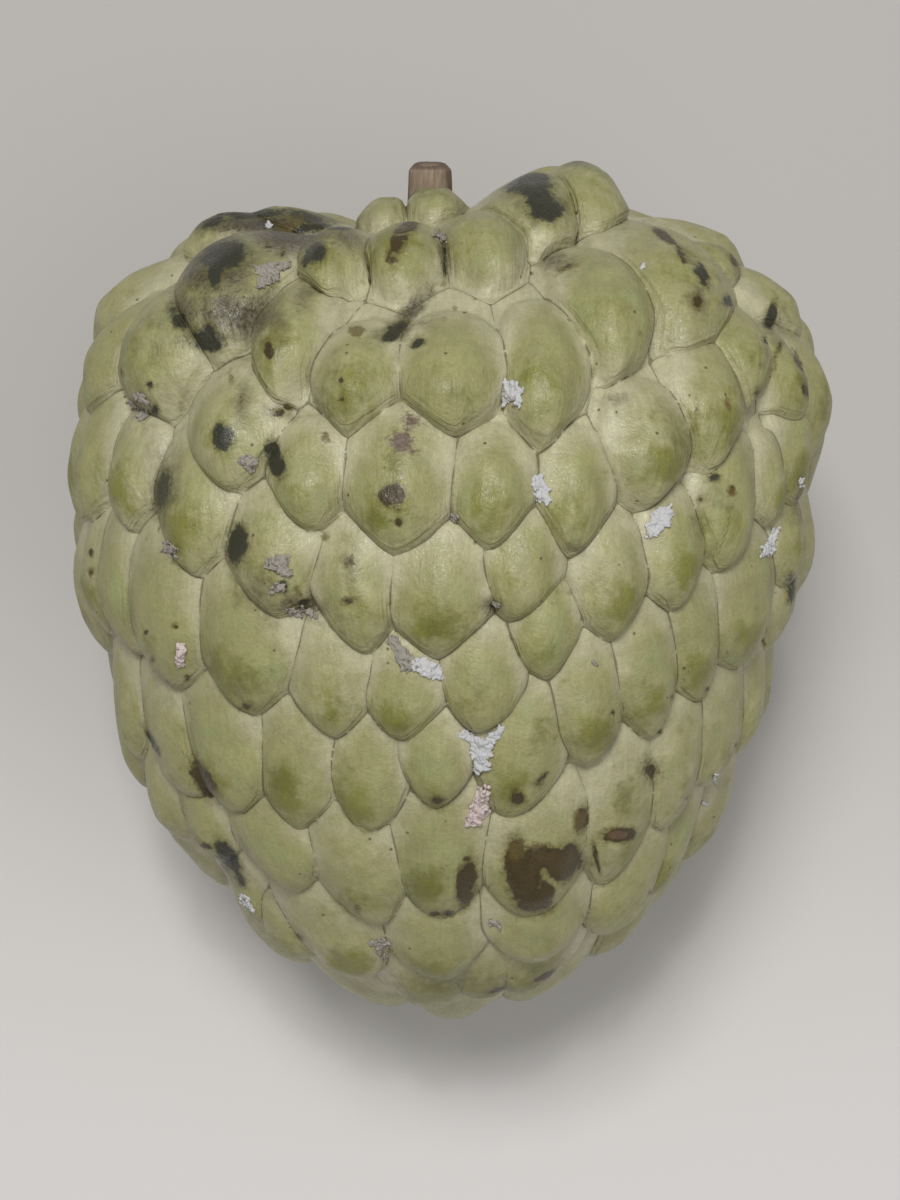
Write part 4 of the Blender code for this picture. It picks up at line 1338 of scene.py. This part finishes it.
@dataclass
class Stem:
    """The short stalk: bark with fibres along it, and a slanting cut end a little hollow."""

    fruit: Fruit
    top_radius: float = 2.65 * MM
    foot_radius: float = 2.9 * MM
    foot: float = 40.9 * MM
    top: float = 50.8 * MM
    aside: float = -2.6 * MM
    hollow: float = 0.5 * MM
    rounded: float = 0.7 * MM
    rounds_from: float = 0.86
    slant: float = 0.9 * MM
    swell: float = 0.22 * MM
    roughness: float = 0.08 * MM
    fibres: tuple[tuple[float, float, int, float], ...] = (
        (3.0, 0.5, 21, 0.10 * MM), (8.0, 1.0, 22, 0.05 * MM),
    )
    insets: tuple[float, ...] = (0.06, 0.10, 0.16, 0.2, 0.2)
    sides: int = 64
    rings: int = 28

    @staticmethod
    def pick(stem: bpy.types.Object, kind: str, chosen: Callable[[Any], bool]) -> None:
        """Open the stem in edit mode with some of its edges or faces selected, and no others.

        Args:
            stem: The stem.
            kind: EDGE or FACE.
            chosen: Says of an edge or face whether it is selected.
        """
        bpy.ops.object.mode_set(mode="EDIT")
        bpy.ops.mesh.select_mode(type=kind)
        bpy.ops.mesh.select_all(action="DESELECT")
        bpy.ops.object.mode_set(mode="OBJECT")
        for item in stem.data.edges if kind == "EDGE" else stem.data.polygons:
            item.select = bool(chosen(item))
        bpy.ops.object.mode_set(mode="EDIT")

    def make(self) -> bpy.types.Object:
        """Make the stem."""
        bpy.ops.mesh.primitive_cylinder_add(vertices=self.sides, radius=1.0, depth=1.0, end_fill_type="NGON")
        stem = bpy.context.active_object
        stem.name = "stem_bark"
        level = read(stem.data.vertices, "co", 3)[:, 2]
        self.pick(stem, "EDGE", lambda edge: np.ptp(level[list(edge.vertices)]) > 0.5)
        bpy.ops.mesh.subdivide_edgering(number_cuts=self.rings)
        self.pick(stem, "FACE", lambda face: face.normal.z > 0.9)
        for thickness in self.insets:
            bpy.ops.mesh.inset(thickness=thickness)
        bpy.ops.object.mode_set(mode="OBJECT")
        self.shape(stem.data)
        bpy.ops.object.mode_set(mode="EDIT")
        bpy.ops.mesh.select_all(action="SELECT")
        bpy.ops.mesh.normals_make_consistent(inside=False)
        bpy.ops.object.mode_set(mode="OBJECT")
        stem.data.shade_smooth()
        stem.data.materials.append(DryBark().material())
        LOG.info("stem_bark: %d faces", len(stem.data.polygons))
        return stem

    def shape(self, mesh: bpy.types.Mesh) -> None:
        """Shape the plain cylinder to the stalk, and store where its bark is dark: its rim, and painted shade
        on its sides and down in the fruit.

        Args:
            mesh: The cylinder's mesh, 1 m in radius and in height.
        """
        points = read(mesh.vertices, "co", 3)
        along = np.clip(points[:, 2] + 0.5, 0.0, 1.0)
        from_middle = np.hypot(points[:, 0], points[:, 1])
        turn = np.arctan2(points[:, 1], points[:, 0])
        on_top = along > 0.999
        around = np.stack((np.cos(turn) * 3.0, np.sin(turn) * 3.0, along * 2.2), axis=1) * MM
        side = self.foot_radius + (self.top_radius - self.foot_radius) * along
        for across, lengthwise, seed, depth in self.fibres:
            side += lumps(around * np.array((across, across, lengthwise)), 1.0 * MM, seed) * depth
        side += lumps(around, 2.2 * MM, 23) * self.swell
        side -= self.rounded * np.clip((along - self.rounds_from) / (1.0 - self.rounds_from), 0.0, 1.0) ** 2.2
        radial = np.where(on_top, from_middle * side, side)
        height = self.foot + along * (self.top - self.foot)
        height -= self.hollow * (1.0 - smooth(from_middle, 0.5, 0.95)) * on_top
        height += lumps(points * 3.0 * MM, 0.7 * MM, 24) * self.roughness * on_top
        height -= self.slant * (0.5 + 0.5 * np.sin(turn) * radial / side) * smooth(along, 0.80, 1.0)
        placed = np.stack((self.aside + np.cos(turn) * radial, height, np.sin(turn) * radial), axis=1)
        mesh.vertices.foreach_set("co", placed.ravel())
        mesh.transform(self.fruit.matrix)
        mesh.update()

        # Dark round the rim of the cut and under it. Painted shade down in the fruit and on both sides of the
        # round stalk.
        rim = smooth(from_middle, 0.55, 0.9) * on_top * 0.75
        under_rim = smooth(along, 0.88, 0.985) * (1.0 - on_top) * 0.7
        sides = smooth(np.abs(np.cos(turn) + 0.1), 0.70, 0.98) * 0.6
        set_field(mesh, "rim", np.max((rim, under_rim, smooth(along, 0.60, 0.48) * 0.8, sides), axis=0))


@dataclass(frozen=True)
class Grain:
    """A grain of wax: where it lies, the way out of the skin, its size and its tint."""

    place: Vector
    outward: Vector
    size: float
    tint: float


@dataclass
class WaxTufts:
    """The tufts of wax that insects left in the grooves, as crumbly lumps on the skin."""

    fruit: Fruit
    skin: bpy.types.Object
    voxel: float = 0.11 * MM
    fewest: int = 20
    spread: float = 0.42
    grain_size: tuple[float, float] = (0.08 * MM, 0.21 * MM)
    crumbs: tuple[tuple[float, int, float], ...] = ((0.50 * MM, 31, 0.12 * MM), (0.25 * MM, 32, 0.08 * MM))
    seed: int = 5

    def grains(self, draw: random.Random) -> list[Grain]:
        """Strew the grains of every tuft on the skin.

        Args:
            draw: The random draws.

        Returns:
            The grains.
        """
        mesh = self.skin.data
        corners = read(mesh.loops, "vertex_index", kind=np.int64)
        tree = BVHTree.FromPolygons(read(mesh.vertices, "co", 3).tolist(), corners.reshape(-1, 3).tolist())
        matrix = self.fruit.matrix
        eye_place = matrix @ Vector(self.fruit.eye.place)
        grains = []
        for tint, strokes in TUFTS.values():
            for x0, y0, x1, y1, width in strokes:
                spread = width * self.spread
                bulk = 0.7 + width / 24.0 + 0.5 * (tint is Wax.PINK)
                for _ in range(int(self.fewest + math.hypot(x1 - x0, y1 - y0) * width / 2.0)):
                    share = draw.random()
                    x = x0 + (x1 - x0) * share + draw.uniform(-spread, spread)
                    y = y0 + (y1 - y0) * share + draw.uniform(-spread, spread)
                    sight = matrix.to_3x3() @ Vector(self.fruit.eye.sights([(x, y)])[0])
                    place, outward, _, _ = tree.ray_cast(eye_place, sight)
                    if place is not None:
                        size = draw.uniform(*self.grain_size) * bulk
                        place = place + outward * size * draw.uniform(0.0, 1.6)
                        grains.append(Grain(place, outward, size, tint.value))
        return grains

    def make(self) -> bpy.types.Object:
        """Make the tufts, all in one piece."""
        draw = random.Random(self.seed)
        grains = self.grains(draw)
        bpy.ops.mesh.primitive_ico_sphere_add(subdivisions=2, radius=1.0)
        tufts = bpy.context.active_object
        tufts.name = "wax_tufts"
        ball = tufts.data
        round_points = read(ball.vertices, "co", 3)
        faces = read(ball.loops, "vertex_index", kind=np.int64).reshape(-1, 3)
        points, polygons = [], []
        for index, grain in enumerate(grains):
            lean = Vector(draw.uniform(-0.6, 0.6) for _ in range(3))
            turn = np.array((grain.outward + lean).to_track_quat("Z", "Y").to_matrix())
            squash = np.array((draw.uniform(0.8, 1.7), draw.uniform(0.6, 1.1), draw.uniform(0.35, 0.7)))
            points.append((round_points * squash * grain.size) @ turn.T + np.array(grain.place))
            polygons.append(faces + index * len(round_points))
        tufts.data = bpy.data.meshes.new("wax_tufts")
        tufts.data.from_pydata(np.concatenate(points).tolist(), [], np.concatenate(polygons).tolist())
        bpy.data.meshes.remove(ball)
        remesh = tufts.modifiers.new("one crust", "REMESH")
        remesh.mode = "VOXEL"
        remesh.voxel_size = self.voxel
        bpy.ops.object.modifier_apply(modifier="one crust")

        mesh = tufts.data
        points = read(mesh.vertices, "co", 3)
        outward = np.array([vertex.normal for vertex in mesh.vertices])
        crumbs = sum(lumps(points, size, seed) * depth for size, seed, depth in self.crumbs)
        mesh.vertices.foreach_set("co", (points + outward * crumbs[:, None]).ravel())
        nearest = KDTree(len(grains))
        for index, grain in enumerate(grains):
            nearest.insert(grain.place, index)
        nearest.balance()
        set_field(mesh, "tint", np.array([grains[nearest.find(point)[1]].tint for point in points]))
        mesh.shade_smooth()
        mesh.materials.append(MealyWax().material())
        LOG.info("wax_tufts: %d grains, %d faces", len(grains), len(mesh.polygons))
        return tufts


@dataclass
class Studio:
    """The floor, the lights and the camera."""

    fruit: Fruit
    picture_height: int = 1200
    sensor: float = 36.0
    aim: tuple[float, float, float] = (0.0, 0.0, 0.04)

    def floor(self) -> bpy.types.Object:
        """Make the floor."""
        bpy.ops.mesh.primitive_plane_add(size=3.0, location=(0.0, 0.0, 0.0))
        floor = bpy.context.active_object
        floor.name = "floor"
        floor.data.materials.append(PaleFloor().material())
        return floor

    def light(self, name: str, place: tuple[float, float, float], size: float, power: float) -> None:
        """Add a square light that faces the fruit.

        Args:
            name: The light's name.
            place: Where it is.
            size: How wide it is.
            power: Its power in watts.
        """
        bpy.ops.object.light_add(type="AREA", location=place)
        lamp = bpy.context.active_object
        lamp.name = name
        lamp.data.size = size
        lamp.data.energy = power
        lamp.rotation_euler = (Vector(place) - Vector(self.aim)).to_track_quat("Z", "Y").to_euler()

    def lights(self) -> None:
        """Light the fruit softly from above, with glints, a wide fill from the lower right and a surround."""
        self.light("soft_light", (-0.09, 0.21, 0.90), 0.26, 4.25)
        self.light("glint_light", (-0.02, 0.19, 0.86), 0.05, 0.5)
        self.light("fill_light", (0.28, -0.32, 0.76), 0.7, 1.6)
        world = bpy.data.worlds.new("even surround")
        world.use_nodes = True
        surround = world.node_tree.nodes["Background"]
        feed(world.node_tree, surround, {"Color": linear("F4F4F6"), "Strength": 0.22})
        bpy.context.scene.world = world

    def camera(self) -> None:
        """Add the camera where the eye is."""
        eye = self.fruit.eye
        across, up, back = Vector((1.0, 0.0, 0.0)), Vector(eye.up), Vector(eye.to_eye)
        turned = Matrix((across, up, back)).transposed().to_4x4()
        bpy.ops.object.camera_add()
        camera = bpy.context.active_object
        camera.name = "camera"
        camera.matrix_world = self.fruit.matrix @ Matrix.Translation(eye.place) @ turned
        camera.data.sensor_fit = "VERTICAL"
        camera.data.sensor_height = self.sensor
        camera.data.sensor_width = self.sensor
        camera.data.lens = eye.focal_pixels * self.sensor / self.picture_height
        camera.data.clip_start = 0.01
        bpy.context.scene.camera = camera
        bpy.context.scene.view_settings.view_transform = "Standard"


def main() -> None:
    """Build every piece around the frame."""
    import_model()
    deselect()
    body = Body()
    eye = Eye()
    fruit = Fruit(body, eye, Scales(body, eye))
    skin = fruit.make()
    deselect()
    stem = Stem(fruit).make()
    deselect()
    tufts = WaxTufts(fruit, skin).make()
    deselect()
    for piece, slot in ((skin, "skin"), (stem, "bark"), (tufts, "skin")):
        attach(piece, "root")
    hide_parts("fruit")
    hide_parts("stem")
    studio = Studio(fruit)
    studio.floor()
    studio.lights()
    studio.camera()


if __name__ == "__main__":
    logging.basicConfig(level=logging.INFO)
    main()
